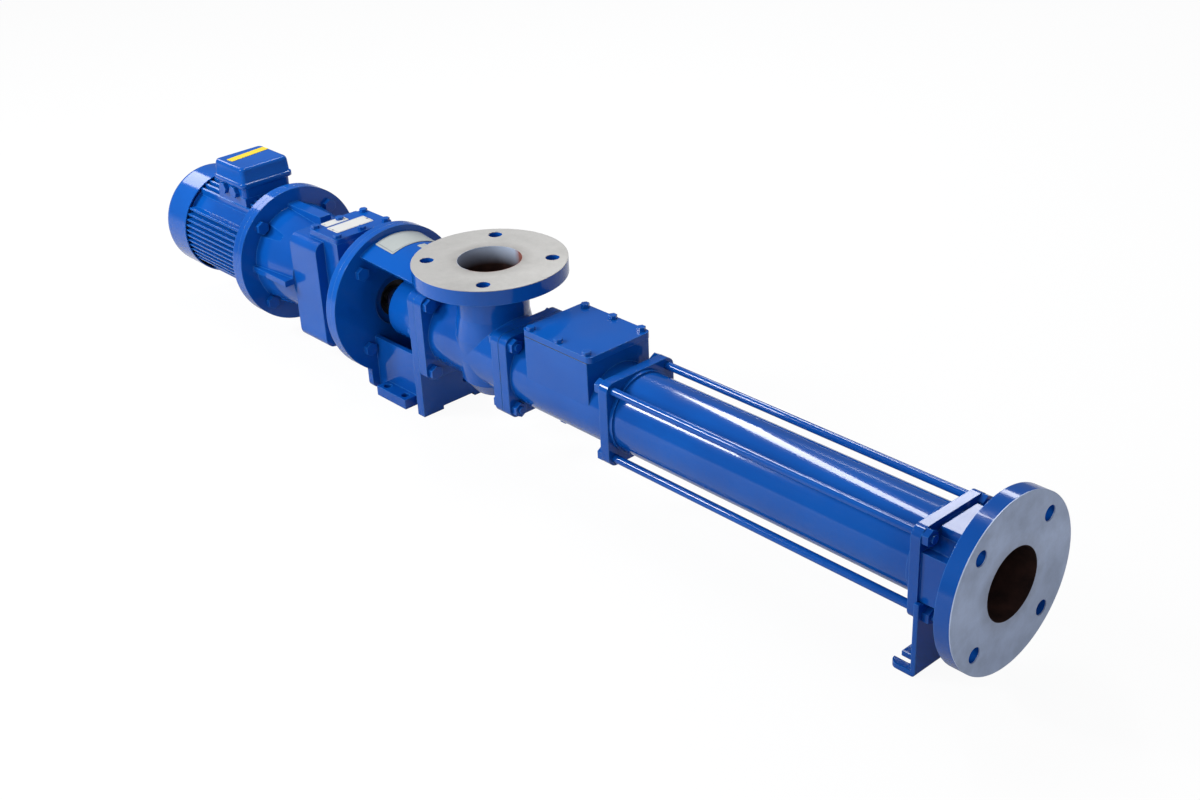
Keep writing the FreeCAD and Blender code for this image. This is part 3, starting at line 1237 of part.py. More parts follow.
def support_foot():
    piece = Piece("support_foot")
    base = "-shaft_height"
    piece.block("upright", ("foot_plate_start", "-foot_half_width", base),
                ("foot_plate_thickness", "2 * foot_half_width", "foot_plate_top + shaft_height"))
    piece.block("sole", ("foot_plate_end - foot_reach", "-foot_half_width", base),
                ("foot_reach", "2 * foot_half_width", "foot_plate_thickness"))
    free = number("foot_plate_end - foot_reach")
    piece.fillet("foot_prong_radius", lambda edge: runs_along(edge, 2) and edge.BoundBox.XMax < free + 1e-3)
    bend = number("foot_plate_end")
    piece.fillet("foot_plate_thickness - 1", lambda edge: runs_along(edge,
                                                                     1) and edge.BoundBox.ZMax < number(base) + 1e-3
                 and edge.BoundBox.XMax > bend - 1e-3)
    piece.cylinder("neck_notch", ("foot_plate_start - 1", "0", "0"), "discharge_neck_radius + 1",
                   "foot_plate_thickness + 2", cut=True)
    piece.block("web_notch", ("foot_plate_start - 1", "-end_plate_half", "-discharge_web_half - 1"),
                ("foot_plate_thickness + 2", "2 * end_plate_half", "60"), cut=True)
    for side in ("-foot_slot_offset", "foot_slot_offset"):
        end = "foot_plate_end - foot_reach + foot_slot_depth"
        piece.cylinder("slot_end", (end, side, base + " - 1"), "foot_slot_radius", "foot_plate_thickness + 2",
                       ALONG_Z, True)
        piece.block("slot", ("foot_plate_end - foot_reach - 1", side + " - foot_slot_radius", base + " - 1"),
                    ("foot_slot_depth + 1", "2 * foot_slot_radius", "foot_plate_thickness + 2"), cut=True)
    for across, up in four("tie_rod_offset"):
        if up.startswith("-"):
            piece.cylinder("rod_hole", ("foot_plate_start - 1", across, up), "tie_rod_radius + thread_gap",
                           "foot_plate_thickness + 2", cut=True)


motor_housing()
motor_shields()
motor_inside()
cooling_fan()
fan_cover()
terminal_box()
motor_flange_bolts()
GEARBOX = gearbox_housing()
gearbox_cover()
gear_train()
gearbox_shafts()
lantern()
lantern_bolts()
drive_shaft()
shaft_seal()
suction_casing()
casing_joint_fasteners()
inspection_cover(joint_casing())
coupling_rod()
rotor_end()
rotor()
stator_elastomer()
stator()
discharge_casing()
support_foot()

doc.recompute()
subparts = [piece.body for piece in pieces] + shapes
failed = [o.Label for o in doc.Objects if "Invalid" in o.State or "Error" in o.State]
for part in subparts:
    if part.Shape.isNull() or not part.Shape.isValid():
        failed.append(part.Label)
if failed:
    raise RuntimeError("not sound: " + ", ".join(failed))

os.makedirs("parts", exist_ok=True)
for part in subparts:
    part.Shape.exportStep(os.path.join("parts", part.Label + ".step"))
    print("%-24s solids %2d  volume %.0f" % (part.Label, len(part.Shape.Solids), part.Shape.Volume))
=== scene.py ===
"""Progressive cavity pump: finishes, bare plates, studio and camera, in metres in the CAD frame."""
import math

import bmesh
import bpy
from mathutils import Matrix, Vector


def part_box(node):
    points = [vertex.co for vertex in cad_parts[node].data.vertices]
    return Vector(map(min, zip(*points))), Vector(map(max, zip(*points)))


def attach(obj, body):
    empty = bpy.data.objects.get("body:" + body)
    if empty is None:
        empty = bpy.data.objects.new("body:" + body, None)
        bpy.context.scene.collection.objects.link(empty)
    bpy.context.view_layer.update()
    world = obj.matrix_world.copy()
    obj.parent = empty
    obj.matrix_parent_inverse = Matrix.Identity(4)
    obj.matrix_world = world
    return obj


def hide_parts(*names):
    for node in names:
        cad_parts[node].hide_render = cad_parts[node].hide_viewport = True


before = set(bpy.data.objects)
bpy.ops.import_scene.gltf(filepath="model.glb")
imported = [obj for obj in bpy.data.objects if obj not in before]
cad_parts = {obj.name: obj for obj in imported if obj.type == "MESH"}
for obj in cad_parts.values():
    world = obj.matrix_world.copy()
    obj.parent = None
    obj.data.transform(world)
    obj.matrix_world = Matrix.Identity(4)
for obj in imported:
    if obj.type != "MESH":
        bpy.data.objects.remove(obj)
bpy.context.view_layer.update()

# The pump's own measures, from the CAD
AXIS_HEIGHT = 0.118
SUCTION_X = 0.160
PORT_BORE = 0.0412            # just over the ports' bore radius, so that its wall counts as inside
SUCTION_FACE = 0.2373         # just under the top of the suction flange
DISCHARGE_FACE = 0.9555       # just behind the face of the discharge flange
PASSAGE_RADIUS = 0.0470       # between the inner and outer surface of the pipe along the shaft
CHAMBER_RADIUS = 0.0462       # the same for the chamber under the suction port
CHAMBER_HEIGHTS = (0.062, 0.19)
CHAMBER_SLOPE = 1.52          # rise over run of the chamber's tapered bottom
CHAMBER_TAPER = 0.0138        # parts the inner and outer surface of that bottom
ROD_THREADS = ((0.40, 0.4175), (0.884, 0.915))
THREAD_PITCH = 0.0015
TURNING_PITCH = 0.0011
SHEET_PITCH = 0.0008
ROOF_START, ROOF_LENGTH = -0.062, 0.117
ROOF_RADIUS, ROOF_FALL = 0.097, 0.013
SKIN = 0.0001                 # how far a label stands off the roof


# The camera that was fitted to the photograph
CAMERA_ANGLES = (48.4568, 27.9266, -2.7146)
CAMERA_PLACE = (1.7265, -1.2129, 1.0766)
FOCAL_LENGTH = 50.78


def add_camera():
    azimuth, elevation, roll = (math.radians(a) for a in CAMERA_ANGLES)
    right = Vector((math.cos(azimuth), math.sin(azimuth), 0))
    back = Vector((math.sin(azimuth) * math.cos(elevation), -math.cos(azimuth) * math.cos(elevation),
                   math.sin(elevation)))
    up = back.cross(right)
    turned_right = right * math.cos(roll) + up * math.sin(roll)
    turned_up = up * math.cos(roll) - right * math.sin(roll)
    data = bpy.data.cameras.new("photo_camera")
    data.lens = FOCAL_LENGTH
    data.sensor_width = 36
    data.sensor_fit = "HORIZONTAL"
    camera = bpy.data.objects.new("photo_camera", data)
    bpy.context.collection.objects.link(camera)
    place = Matrix((turned_right, turned_up, back)).transposed().to_4x4()
    place.translation = CAMERA_PLACE
    camera.matrix_world = place
    bpy.context.scene.camera = camera


# Material building
class Nodes:
    """A material's node tree with short ways to add and join nodes."""

    def __init__(self, name):
        self.material = bpy.data.materials.new(name)
        self.material.use_nodes = True
        self.tree = self.material.node_tree
        self.shader = self.tree.nodes["Principled BSDF"]
        self.place = self.add("ShaderNodeTexCoord").outputs["Object"]

    def add(self, kind, links=None):
        node = self.tree.nodes.new(kind)
        for key, source in (links or {}).items():
            self.feed(node.inputs[key], source)
        return node

    def feed(self, socket, source):
        if isinstance(source, bpy.types.NodeSocket):
            self.tree.links.new(source, socket)
        else:
            socket.default_value = source

    def noise(self, scale, detail=3.0, roughness=0.55, stretch=None):
        place = self.place
        if stretch:
            place = self.add("ShaderNodeMapping", {"Vector": place, "Scale": stretch}).outputs[0]
        links = {"Vector": place, "Scale": scale, "Detail": detail, "Roughness": roughness}
        return self.add("ShaderNodeTexNoise", links).outputs["Fac"]

    def ramp(self, source, low, high, to_low=0.0, to_high=1.0):
        return self.add("ShaderNodeMapRange", {"Value": source, "From Min": low, "From Max": high,
                                               "To Min": to_low, "To Max": to_high}).outputs[0]

    def mix(self, factor, first, second):
        node = self.tree.nodes.new("ShaderNodeMix")
        node.data_type = "RGBA"
        self.feed(node.inputs[0], factor)
        self.feed(node.inputs[6], first)
        self.feed(node.inputs[7], second)
        return node.outputs[2]

    def blend(self, factor, first, second):
        node = self.tree.nodes.new("ShaderNodeMix")
        self.feed(node.inputs[0], factor)
        self.feed(node.inputs[2], first)
        self.feed(node.inputs[3], second)
        return node.outputs[0]

    def math(self, operation, first, second=0.0):
        node = self.tree.nodes.new("ShaderNodeMath")
        node.operation = operation
        self.feed(node.inputs[0], first)
        self.feed(node.inputs[1], second)
        return node.outputs[0]

    def split(self):
        return self.add("ShaderNodeSeparateXYZ", {"Vector": self.place}).outputs

    def times(self, first, second):
        return self.math("MULTIPLY", first, second)

    def less(self, first, second):
        return self.math("LESS_THAN", first, second)

    def more(self, first, second):
        return self.math("GREATER_THAN", first, second)

    def between(self, value, low, high):
        return self.times(self.more(value, low), self.less(value, high))

    def waves(self, along, pitch):
        return self.math("SINE", self.times(along, 2 * math.pi / pitch))

    def distance(self, first, second):
        """How far a point is from an axis, from its two coordinates across it."""
        return self.math("SQRT", self.math("ADD", self.times(first, first), self.times(second, second)))

    def rounded(self, radius, samples):
        """The normal that the surface would have if its edges were rounded."""
        bevel = self.add("ShaderNodeBevel", {"Radius": radius})
        bevel.samples = samples
        return bevel.outputs[0]

    def edges(self, width):
        """1 along edges, where a rounded surface would turn away from the face, and 0 on flats."""
        normal = self.add("ShaderNodeNewGeometry").outputs["Normal"]
        turn = self.tree.nodes.new("ShaderNodeVectorMath")
        turn.operation = "DOT_PRODUCT"
        self.feed(turn.inputs[0], self.rounded(width, 4))
        self.feed(turn.inputs[1], normal)
        return self.ramp(turn.outputs["Value"], 0.995, 0.90)

    def bump(self, height, strength, distance, rounding=0.0):
        links = {"Height": height, "Strength": strength, "Distance": distance}
        if rounding:
            links["Normal"] = self.rounded(rounding, 6)
        self.feed(self.shader.inputs["Normal"], self.add("ShaderNodeBump", links).outputs[0])

    def finish(self, **values):
        for key, source in values.items():
            self.feed(self.shader.inputs[key.replace("_", " ")], source)
        return self.material


def scaled(colour, share):
    """The colour at that share of its light, which may be over 1."""
    return tuple(c * share for c in colour[:3]) + (1,)


BLUE = (0.0025, 0.088, 0.41, 1)
DEEP_BLUE = (0.002, 0.066, 0.33, 1)
# painted highlight: the pale blue that the enamel takes along its edges
PAINTED_EDGE_HIGHLIGHT = (0.04, 0.25, 0.70, 1)
EDGE_WIDTH = 0.0014
CAST_ROUNDING = 0.0024
SMOOTH_ROUNDING = 0.0012
ROD_ROUNDING = 0.0006
COAT, COAT_ROUGHNESS = 0.40, 0.03


def enamel_colour(n):
    """Sprayed enamel: slow drifts of shade, with a painted highlight in pale blue along sharp edges."""
    drift = n.ramp(n.noise(7.0, 2.0), 0.35, 0.65)
    flecks = n.ramp(n.noise(220.0, 2.0), 0.62, 0.78, 0.0, 0.35)
    colour = n.mix(drift, BLUE, DEEP_BLUE)
    colour = n.mix(flecks, colour, DEEP_BLUE)
    return n.mix(n.times(n.edges(EDGE_WIDTH), 0.5), colour, PAINTED_EDGE_HIGHLIGHT)


def enamel_grain(n, coarse):
    """The height of orange peel, with so large a share of a casting's coarser grain."""
    return n.blend(coarse, n.noise(520.0, 1.0), n.noise(90.0, 4.0, 0.6))


def enamel_gloss(n):
    return n.ramp(n.noise(14.0, 3.0), 0.3, 0.7, 0.10, 0.20)


def enamel(name, grain, rounding, thread_spans=()):
    """Glossy blue enamel over a casting, a tube or bright steel, by how coarse its grain is."""
    n = Nodes(name)
    height = enamel_grain(n, grain)
    if thread_spans:
        x = n.split()[0]
        mask = 0.0
        for low, high in thread_spans:
            mask = n.math("MAXIMUM", mask, n.between(x, low, high))
        height = n.math("ADD", height, n.times(n.times(n.waves(x, THREAD_PITCH), 1.4), mask))
    n.bump(height, 0.30, 0.0001 + 0.0004 * grain, rounding)
    return n.finish(Base_Color=enamel_colour(n), Roughness=enamel_gloss(n), Coat_Weight=COAT,
                    Coat_Roughness=COAT_ROUGHNESS, Specular_IOR_Level=0.16)


def suction_passage(n, y, z, radius, bore_wall):
    """1 on the suction casing's inner surfaces: the port, the chamber and the pipe along the shaft."""
    bottom = n.more(n.math("SUBTRACT", z, n.times(radius, CHAMBER_SLOPE)), CHAMBER_TAPER)
    chamber = n.times(n.between(z, *CHAMBER_HEIGHTS), n.times(bottom, n.less(radius, CHAMBER_RADIUS)))
    pipe = n.less(n.distance(y, n.math("SUBTRACT", z, AXIS_HEIGHT)), PASSAGE_RADIUS)
    port = n.times(bore_wall, n.more(z, 0.13))
    return n.math("MAXIMUM", port, n.math("MAXIMUM", chamber, pipe))


def flange_enamel(name, direction, level, tint, rim):
    """A blue casting whose port face is turned bright and whose passage is bare dark iron, with painted shade
    that darkens it deeper into the bore.

    direction is the port's axis, level where its face begins along it, and rim how much of the bore's
    first centimetres has the pale wall, a painted light, beside the reddish wall.
    """
    n = Nodes(name)
    x, y, z = n.split()
    if direction == "Z":
        along, across = z, (n.math("SUBTRACT", x, SUCTION_X), y)
    else:
        along, across = x, (y, n.math("SUBTRACT", z, AXIS_HEIGHT))
    radius = n.distance(*across)
    wall_edge = PORT_BORE + 0.0003
    face = n.times(n.more(along, level), n.more(radius, wall_edge))
    inside = n.less(radius, wall_edge)
    if direction == "Z":
        inside = suction_passage(n, y, z, radius, inside)
    smudge = n.ramp(n.noise(16.0, 5.0, 0.65), 0.36, 0.68)
    stain = n.ramp(radius, PORT_BORE, PORT_BORE + 0.016, 0.55, 0.0)
    steel = n.mix(smudge, tint, scaled(tint, 0.72))
    steel = n.mix(n.times(stain, n.noise(60.0, 4.0)), steel, (0.12, 0.10, 0.09, 1))
    patches = n.ramp(n.noise(50.0, 4.0), 0.35, 0.7)
    iron_in_painted_shade = n.mix(patches, (0.022, 0.013, 0.012, 1), (0.060, 0.028, 0.022, 1))
    red = n.math("ADD", n.times(across[0], 22.0), n.noise(24.0, 3.0))
    # painted light: the pale side of the wall near the bore's mouth, beside a reddish side
    painted_light_reddish_wall = n.mix(n.ramp(red, 0.48, 0.80), (0.42, 0.50, 0.64, 1), (0.26, 0.09, 0.07, 1))
    depth = n.math("ABSOLUTE", n.math("SUBTRACT", along, level))
    # painted shade: the wall turns to near-black iron deeper into the bore
    iron_in_painted_shade = n.mix(n.ramp(depth, 0.002, 0.024), n.mix(rim, iron_in_painted_shade, painted_light_reddish_wall), iron_in_painted_shade)
    colour = n.mix(inside, n.mix(face, enamel_colour(n), steel), iron_in_painted_shade)
    rough = n.blend(face, enamel_gloss(n), n.ramp(smudge, 0, 1, 0.34, 0.5))
    rough = n.blend(inside, rough, 0.6)
    rings = n.waves(radius, TURNING_PITCH)
    n.bump(n.blend(face, enamel_grain(n, 0.4), n.times(rings, 0.12)), 0.30, 0.00028, SMOOTH_ROUNDING)
    bare = n.math("MAXIMUM", face, inside)
    return n.finish(Base_Color=colour, Roughness=rough, Metallic=n.times(face, 0.35), Specular_IOR_Level=0.2,
                    Coat_Weight=n.blend(bare, COAT, 0.0), Coat_Roughness=COAT_ROUGHNESS)


def metal(name, colour, rough, turned=False):
    """Bare steel with fine lines, round the shaft where it is turned and along it where it isn't."""
    n = Nodes(name)
    lines = n.noise(900.0, 2.0, 0.5, (1.0, 0.05, 0.05) if turned else (0.15, 1.0, 1.0))
    shade = n.mix(n.ramp(n.noise(35.0, 4.0), 0.35, 0.7, 0.0, 0.6), colour, scaled(colour, 0.7))
    n.bump(lines, 0.12, 0.0002, 0.0004)
    return n.finish(Base_Color=shade, Metallic=1.0,
                    Roughness=n.ramp(lines, 0.3, 0.7, rough * 0.75, rough * 1.3))


def rubber(name, colour):
    """Dull rubber, dusty in patches."""
    n = Nodes(name)
    dust = n.ramp(n.noise(30.0, 4.0), 0.4, 0.8, 0.0, 0.5)
    n.bump(n.noise(350.0, 3.0), 0.25, 0.0004, 0.0006)
    return n.finish(Base_Color=n.mix(dust, colour, scaled(colour, 2.2)),
                    Roughness=n.ramp(dust, 0, 0.5, 0.5, 0.75))


def plastic(name, colour, rough=0.45):
    n = Nodes(name)
    n.bump(n.noise(700.0, 2.0), 0.2, 0.0003, 0.0006)
    tint = n.mix(n.ramp(n.noise(12.0, 2.0), 0.3, 0.7, 0.0, 0.3), colour, scaled(colour, 0.75))
    return n.finish(Base_Color=tint,
                    Roughness=n.ramp(n.noise(60.0, 3.0), 0.3, 0.7, rough * 0.85, rough * 1.15))


def copper_wire():
    n = Nodes("varnished_copper")
    wires = n.add("ShaderNodeTexWave", {"Vector": n.place, "Scale": 260.0, "Distortion": 1.5, "Detail": 2.0})
    n.bump(wires.outputs["Fac"], 0.6, 0.0008)
    colour = n.mix(wires.outputs["Fac"], (0.25, 0.07, 0.025, 1), (0.62, 0.27, 0.12, 1))
    return n.finish(Base_Color=colour, Metallic=0.8, Roughness=n.ramp(n.noise(80.0), 0.3, 0.7, 0.25, 0.45))


def sheet_stack():
    n = Nodes("sheet_stack")
    n.bump(n.waves(n.split()[0], SHEET_PITCH), 0.4, 0.0002, 0.0004)
    colour = n.mix(n.noise(40.0, 4.0), (0.16, 0.16, 0.17, 1), (0.34, 0.33, 0.32, 1))
    return n.finish(Base_Color=colour, Metallic=0.9, Roughness=n.ramp(n.noise(25.0), 0.3, 0.7, 0.35, 0.55))


CAST = ("fan_cover gearbox_housing lantern joint_casing seal_housing motor_flange_shield motor_housing "
        "support_foot")
SMOOTH = ("motor_rear_shield terminal_box terminal_box_lid gearbox_cover inspection_cover stator_tube "
          "stator_collars motor_flange_bolts gearbox_cover_bolts lantern_bolts seal_housing_bolts "
          "suction_casing_bolts cable_plugs joint_casing_bolts joint_casing_nuts inspection_cover_bolts "
          "tie_rod_nuts drain_plug")
TURNED = ("motor_shaft input_pinion countershaft intermediate_gear countershaft_pinion output_shaft "
          "output_gear plug_in_shaft coupling_rod rotor_joint_head")
GROUND = "motor_bearings gearbox_bearings seal_spring shaft_pin pin_sleeve drive_joint_pins rotor_joint_pins"
RUBBER = "oil_seal splash_ring casing_gasket inspection_gasket joint_boots"
BARE_STEEL = (0.50, 0.49, 0.47, 1)
STEEL_WITH_PAINTED_BLUE_REFLECTION = (0.56, 0.66, 0.88, 1)      # as the discharge face looks in the photograph: a blue reflection and shade painted into the steel's colour


def dress_cad():
    """Gives every CAD node its finish."""
    look = {}
    for names, material in (
            (CAST, enamel("cast_enamel", 0.45, CAST_ROUNDING)),
            (SMOOTH, enamel("smooth_enamel", 0.10, SMOOTH_ROUNDING)),
            ("tie_rods", enamel("rod_enamel", 0.05, ROD_ROUNDING, ROD_THREADS)),
            ("suction_casing", flange_enamel("suction_finish", "Z", SUCTION_FACE, BARE_STEEL, 0.9)),
            ("discharge_casing", flange_enamel("discharge_finish", "X", DISCHARGE_FACE, STEEL_WITH_PAINTED_BLUE_REFLECTION, 0.0)),
            (TURNED, metal("turned_steel", (0.50, 0.50, 0.51, 1), 0.32, True)),
            (GROUND, metal("ground_steel", (0.62, 0.62, 0.64, 1), 0.2)),
            ("rotor", metal("polished_steel", (0.66, 0.66, 0.67, 1), 0.14)),
            (RUBBER, rubber("black_rubber", (0.018, 0.018, 0.019, 1))),
            ("stator_elastomer", rubber("stator_rubber", (0.030, 0.021, 0.017, 1))),
            ("cooling_fan", plastic("fan_plastic", (0.03, 0.03, 0.035, 1))),
            ("seal_stationary_ring seal_rotating_ring",
             plastic("seal_carbide", (0.10, 0.10, 0.105, 1), 0.25)),
            ("motor_windings", copper_wire()),
            ("motor_stator_core motor_rotor_core", sheet_stack())):
        for name in names.split():
            look[name] = material
    for name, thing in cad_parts.items():
        for slot in thing.material_slots:
            slot.material = look[name]
    missing = set(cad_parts) - set(look)
    assert not missing, missing


# Studio
WORLD_COLOUR, WORLD_STRENGTH = (0.82, 0.88, 1.0, 1), 0.22
FLOOR_REACH, FLOOR_LEVEL = 6, -0.0005
FLOOR_GLOW, FLOOR_GLOW_SHARE, FLOOR_MIRROR_SHARE = 1.05, 0.90, 0.15


def add_area(name, place, target, size, power, mirrored=False, along=(1, 0, 0)):
    """A soft rectangular lamp, its first side along that direction; gloss shows only a mirrored one."""
    data = bpy.data.lights.new(name, "AREA")
    data.shape = "RECTANGLE"
    data.size, data.size_y = size
    data.energy = power
    lamp = bpy.data.objects.new(name, data)
    bpy.context.collection.objects.link(lamp)
    lamp.visible_glossy = mirrored
    back = (Vector(place) - Vector(target)).normalized()
    side = (Vector(along) - back * back.dot(Vector(along))).normalized()
    turned = Matrix((side, back.cross(side), back)).transposed().to_4x4()
    turned.translation = place
    lamp.matrix_world = turned


def white_for_sight(tree, plain, shade, mirror_share=0.0):
    """White where the camera looks straight at it, partly so in mirrors, and as it is for light."""
    path = tree.nodes.new("ShaderNodeLightPath")
    seen = path.outputs["Is Camera Ray"]
    for other, share in (("Is Transmission Ray", 1.0), ("Is Glossy Ray", mirror_share)):
        part = tree.nodes.new("ShaderNodeMath")
        part.operation = "MULTIPLY"
        tree.links.new(path.outputs[other], part.inputs[0])
        part.inputs[1].default_value = share
        either = tree.nodes.new("ShaderNodeMath")
        either.operation = "MAXIMUM"
        tree.links.new(seen, either.inputs[0])
        tree.links.new(part.outputs[0], either.inputs[1])
        seen = either.outputs[0]
    return mix_shaders(tree, seen, plain, shade)


def mix_shaders(tree, factor, first, second):
    """The first shader where the factor is 0, the second where it is 1."""
    choice = tree.nodes.new("ShaderNodeMixShader")
    for socket, source in zip(choice.inputs, (factor, first, second)):
        if isinstance(source, bpy.types.NodeSocket):
            tree.links.new(source, socket)
        else:
            socket.default_value = source
    return choice.outputs[0]


def add_world():
    world = bpy.data.worlds.new("studio")
    bpy.context.scene.world = world
    world.use_nodes = True
    tree = world.node_tree
    plain = tree.nodes["Background"]
    plain.inputs["Color"].default_value = WORLD_COLOUR
    plain.inputs["Strength"].default_value = WORLD_STRENGTH
    bright = tree.nodes.new("ShaderNodeBackground")
    bright.inputs["Color"].default_value = (1, 1, 1, 1)
    bright.inputs["Strength"].default_value = 1.0
    out = tree.nodes["World Output"]
    tree.links.new(white_for_sight(tree, plain.outputs[0], bright.outputs[0]), out.inputs["Surface"])


def add_floor():
    """Pale paper that looks white to the camera and still keeps the object's shadow."""
    corners = ((-FLOOR_REACH, -FLOOR_REACH), (FLOOR_REACH, -FLOOR_REACH),
               (FLOOR_REACH, FLOOR_REACH), (-FLOOR_REACH, FLOOR_REACH))
    mesh = bpy.data.meshes.new("floor")
    mesh.from_pydata([(x, y, FLOOR_LEVEL) for x, y in corners], [], [(0, 1, 2, 3)])
    floor = bpy.data.objects.new("floor", mesh)
    bpy.context.collection.objects.link(floor)
    n = Nodes("floor_paper")
    n.bump(n.noise(40.0, 3.0), 0.05, 0.001)
    n.finish(Base_Color=n.mix(n.noise(3.0, 2.0), (0.50, 0.50, 0.51, 1), (0.55, 0.55, 0.55, 1)), Roughness=0.8)
    glow = n.tree.nodes.new("ShaderNodeEmission")
    glow.inputs["Strength"].default_value = FLOOR_GLOW
    paper = n.shader.outputs[0]
    lit = mix_shaders(n.tree, FLOOR_GLOW_SHARE, paper, glow.outputs[0])
    out = n.tree.nodes["Material Output"]
    n.tree.links.new(white_for_sight(n.tree, paper, lit, FLOOR_MIRROR_SHARE), out.inputs["Surface"])
    mesh.materials.append(n.material)


def add_lamps():
    """The two keys and the two panels give the highlights; the softboxes only lighten what they face."""
    middle = (0.2, 0, 0.12)
    add_area("far_key", (-0.50, 0.70, 1.8), middle, (1.5, 0.24), 22, True, (0.55, -0.83, 0))
    add_area("near_softbox", (0.10, -1.4, 0.75), (0.05, 0, 0.12), (1.0, 0.6), 10)
    add_area("front_softbox", (1.4, -1.8, 0.9), (0.6, 0, 0.12), (1.2, 0.8), 2)
    add_area("right_softbox", (2.6, -0.2, 1.0), (0.9, 0, 0.12), (1.0, 1.4), 7, False, (0, 1, 0))
    add_area("far_panel", (-0.6, 2.1, 1.75), (0.6, 0, 0.12), (0.8, 0.4), 9, True)
    add_area("back_panel", (-2.3, 0.0, 1.35), (-0.5, 0, 0.15), (0.8, 0.5), 8, True, (0, 1, 0))
    add_area("near_key", (-0.86, -1.2, 1.3), middle, (0.45, 0.45), 26, True)


# Bare plates, their rivets and the terminal box's lid
PLATE_THICKNESS = 0.0006
PLATE_CELL = 0.002
RIVET_SIDES = 20


def plate_finish(name, paper, frame_tint, aspect):
    """A plate left bare: a tint with a thin frame line inside its edge, dusty in patches.

    aspect is how many times as long the plate is as it is wide, so that the line keeps its width.
    """
    n = Nodes(name)
    unit_place = n.add("ShaderNodeTexCoord").outputs["Generated"]
    u, v = n.add("ShaderNodeSeparateXYZ", {"Vector": unit_place}).outputs[:2]
    edge_u = n.math("MINIMUM", u, n.math("SUBTRACT", 1.0, u))
    edge_v = n.math("MINIMUM", v, n.math("SUBTRACT", 1.0, v))
    line = n.between(n.math("MINIMUM", edge_u, n.times(edge_v, aspect)), 0.05, 0.075)
    dust = n.ramp(n.noise(45.0, 4.0, 0.6), 0.4, 0.75, 0.0, 0.35)
    shade = n.mix(dust, paper, scaled(paper, 0.78))
    n.bump(n.noise(400.0, 2.0), 0.08, 0.0002, 0.0003)
    return n.finish(Base_Color=n.mix(line, shade, frame_tint),
                    Roughness=n.ramp(dust, 0, 0.35, 0.30, 0.48))


def put(name, bm, material):
    """Makes a piece of the pump's frame from a bmesh."""
    mesh = bpy.data.meshes.new(name)
    bm.normal_update()
    bm.to_mesh(mesh)
    bm.free()
    mesh.materials.append(material)
    piece = bpy.data.objects.new(name, mesh)
    bpy.context.collection.objects.link(piece)
    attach(piece, "pump_frame")
    return piece


def modify(piece, kind, **values):
    change = piece.modifiers.new(kind.title(), kind)
    for key, value in values.items():
        setattr(change, key, value)


def add_plate(name, place, wide, deep, material, corner=0.0018):
    """A thin plate with round corners on a surface: place(u, v) says where its point u, v comes to lie."""
    bm = bmesh.new()
    columns, rows = round(wide / PLATE_CELL), round(deep / PLATE_CELL)
    grid = []
    for i in range(columns + 1):
        line = []
        for k in range(rows + 1):
            u, v = (i / columns - 0.5) * wide, (k / rows - 0.5) * deep
            over_u, over_v = abs(u) - (wide / 2 - corner), abs(v) - (deep / 2 - corner)
            reach = math.hypot(over_u, over_v)
            if over_u > 0 and over_v > 0 and reach > corner:
                u -= math.copysign(over_u * (1 - corner / reach), u)
                v -= math.copysign(over_v * (1 - corner / reach), v)
            line.append(bm.verts.new(place(u, v)))
        grid.append(line)
    for i in range(columns):
        for k in range(rows):
            bm.faces.new((grid[i][k], grid[i + 1][k], grid[i + 1][k + 1], grid[i][k + 1]))
    piece = put(name, bm, material)
    modify(piece, "SOLIDIFY", thickness=PLATE_THICKNESS, offset=1.0)
    modify(piece, "BEVEL", width=PLATE_THICKNESS * 0.3, segments=2, limit_method="ANGLE")


def flat_place(centre, turn=0.0):
    """Places a plate's points on a level top."""
    across, along = math.cos(math.radians(turn)), math.sin(math.radians(turn))
    x, y, z = centre
    return lambda u, v: (x + u * across - v * along, y + u * along + v * across, z)


def roof_place(x, angle, turn=0.0):
    """Places a plate's points on the lantern's coned roof, so many degrees from its top to the far side."""
    across, along = math.cos(math.radians(turn)), math.sin(math.radians(turn))

    def place(u, v):
        at = x + u * across - v * along
        radius = ROOF_RADIUS - ROOF_FALL * (at - ROOF_START) / ROOF_LENGTH + SKIN
        turned = math.radians(angle) + (u * along + v * across) / radius
        return (at, radius * math.sin(turned), AXIS_HEIGHT + radius * math.cos(turned))
    return place


def add_rivets(name, spots, radius, height, material):
    """Low round heads standing on level tops, as one group."""
    bm = bmesh.new()
    profile = ((radius, 0.0), (radius, height * 0.45), (radius * 0.82, height * 0.85), (radius * 0.5, height))
    angles = [math.tau * k / RIVET_SIDES for k in range(RIVET_SIDES)]
    for x, y, z in spots:
        rings = [[bm.verts.new((x + r * math.cos(a), y + r * math.sin(a), z + h)) for a in angles]
                 for r, h in profile]
        skin_rings(bm, rings)
    piece = put(name, bm, material)
    for face in piece.data.polygons:
        face.use_smooth = True
    modify(piece, "BEVEL", width=height * 0.1, segments=1, limit_method="ANGLE")


def skin_rings(bm, rings):
    """Joins rings of points from the lowest to the highest, and closes both ends."""
    count = len(rings[0])
    for low, high in zip(rings, rings[1:]):
        for k in range(count):
            bm.faces.new((low[k], low[(k + 1) % count], high[(k + 1) % count], high[k]))
    bm.faces.new(rings[-1])
    bm.faces.new(list(reversed(rings[0])))


# The lid from its rim up: how far inside the rim's outline, how high of 30 mm, and the corner radius, in mm
LID_PROFILE = ((3.0, 0.0, 7), (0.4, 0.0, 8), (0.0, 0.5, 8), (0.0, 6.4, 8), (0.5, 7.0, 8), (1.6, 7.3, 7),
               (2.2, 7.9, 7), (3.2, 24.5, 7), (3.9, 27.2, 7), (5.4, 29.2, 6), (7.6, 30.0, 4))
LID_PROFILE_HEIGHT = 30.0


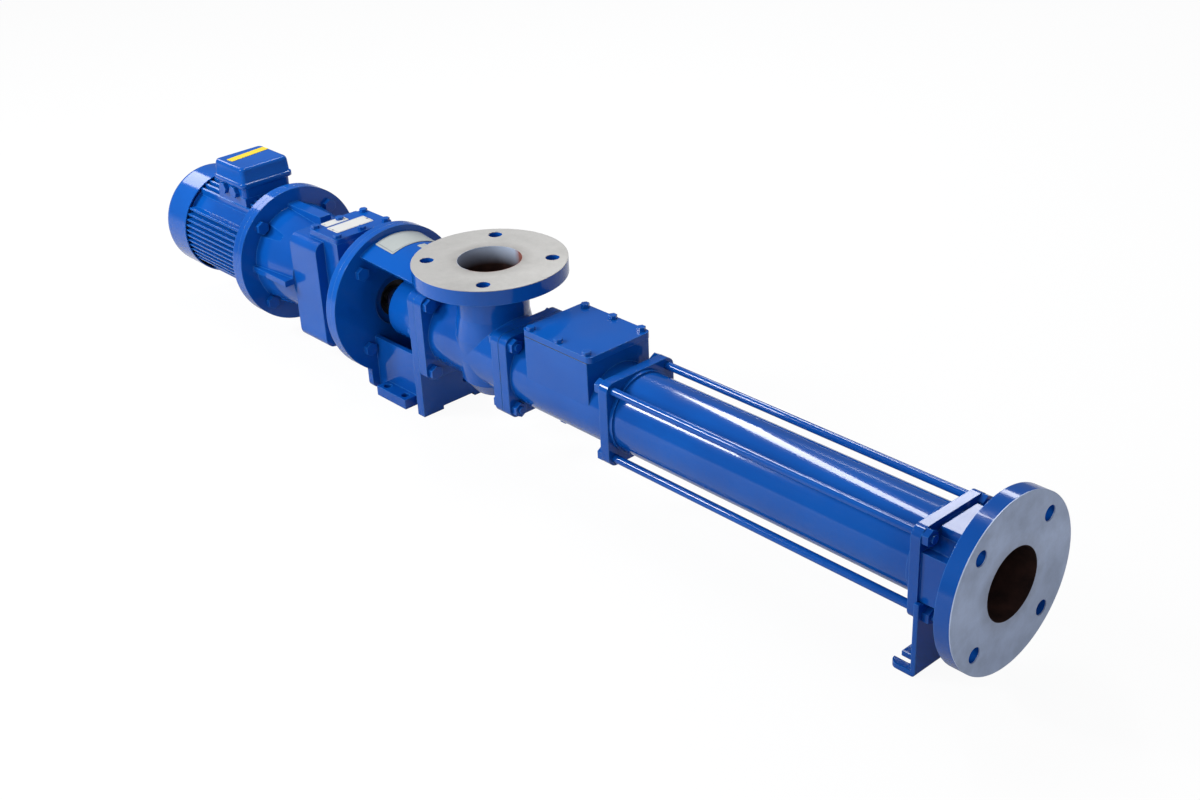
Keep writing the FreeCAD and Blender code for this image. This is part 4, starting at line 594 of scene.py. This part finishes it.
def add_lid(material):
    """The terminal box's moulded lid: a rim, straight sides that lean in a little, and a rounded top edge."""
    low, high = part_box("terminal_box_lid")
    middle_x, middle_y = (low[0] + high[0]) / 2, (low[1] + high[1]) / 2
    half_x, half_y, tall = (high[0] - low[0]) / 2, (high[1] - low[1]) / 2, high[2] - low[2]
    bm = bmesh.new()
    rings = []
    for inset, height, corner in LID_PROFILE:
        ring = []
        for turn, (sx, sy) in enumerate(((1, 1), (-1, 1), (-1, -1), (1, -1))):
            for k in range(7):
                angle = math.radians(90 * turn + 15 * k)
                ring.append(bm.verts.new((
                    middle_x + sx * (half_x - (inset + corner) / 1000) + corner / 1000 * math.cos(angle),
                    middle_y + sy * (half_y - (inset + corner) / 1000) + corner / 1000 * math.sin(angle),
                    low[2] + height / LID_PROFILE_HEIGHT * tall)))
        rings.append(ring)
    skin_rings(bm, rings)
    lid = put("lid_shell", bm, material)
    for face in lid.data.polygons:
        face.use_smooth = len(face.vertices) == 4
    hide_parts("terminal_box_lid")
    return high[2]


def add_plates():
    """The bare plates, where the photograph shows plates and labels."""
    grey = plate_finish("printed_plate", (0.60, 0.60, 0.58, 1), (0.30, 0.32, 0.34, 1), 1.6)
    label = plate_finish("printed_label", (0.38, 0.41, 0.40, 1), (0.20, 0.22, 0.24, 1), 1.5)
    yellow = plate_finish("yellow_strip", (0.78, 0.58, 0.04, 1), (0.45, 0.33, 0.03, 1), 5.0)
    lid_top = add_lid(enamel("lid_enamel", 0.10, SMOOTH_ROUNDING))
    cover_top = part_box("gearbox_cover")[1][2]
    add_plate("lid_strip", flat_place((-0.408, 0.003, lid_top), 6), 0.014, 0.068, yellow)
    small_x, small_y, large_x, large_y = -0.173, -0.010, -0.148, -0.001
    add_plate("gearbox_plate_small", flat_place((small_x, small_y, cover_top)), 0.016, 0.038, grey)
    add_plate("gearbox_plate", flat_place((large_x, large_y, cover_top)), 0.026, 0.062, grey)
    add_plate("lantern_label", roof_place(-0.031, 5.5, 2), 0.038, 0.078, label)
    add_plate("lantern_label_small", roof_place(0.003, 8.7, 6), 0.014, 0.014, label, corner=0.001)
    foot = cover_top + 0.0005
    rivets = [(large_x, large_y + dy, foot) for dy in (-0.0285, 0.0285)]
    rivets += [(small_x, small_y + dy, foot) for dy in (-0.0165, 0.0165)]
    add_rivets("plate_rivets", rivets, 0.0015, 0.0009, metal("rivet_steel", (0.55, 0.55, 0.56, 1), 0.3))


add_camera()
dress_cad()
add_plates()
add_world()
add_floor()
add_lamps()

bpy.context.scene.view_settings.view_transform = "Standard"
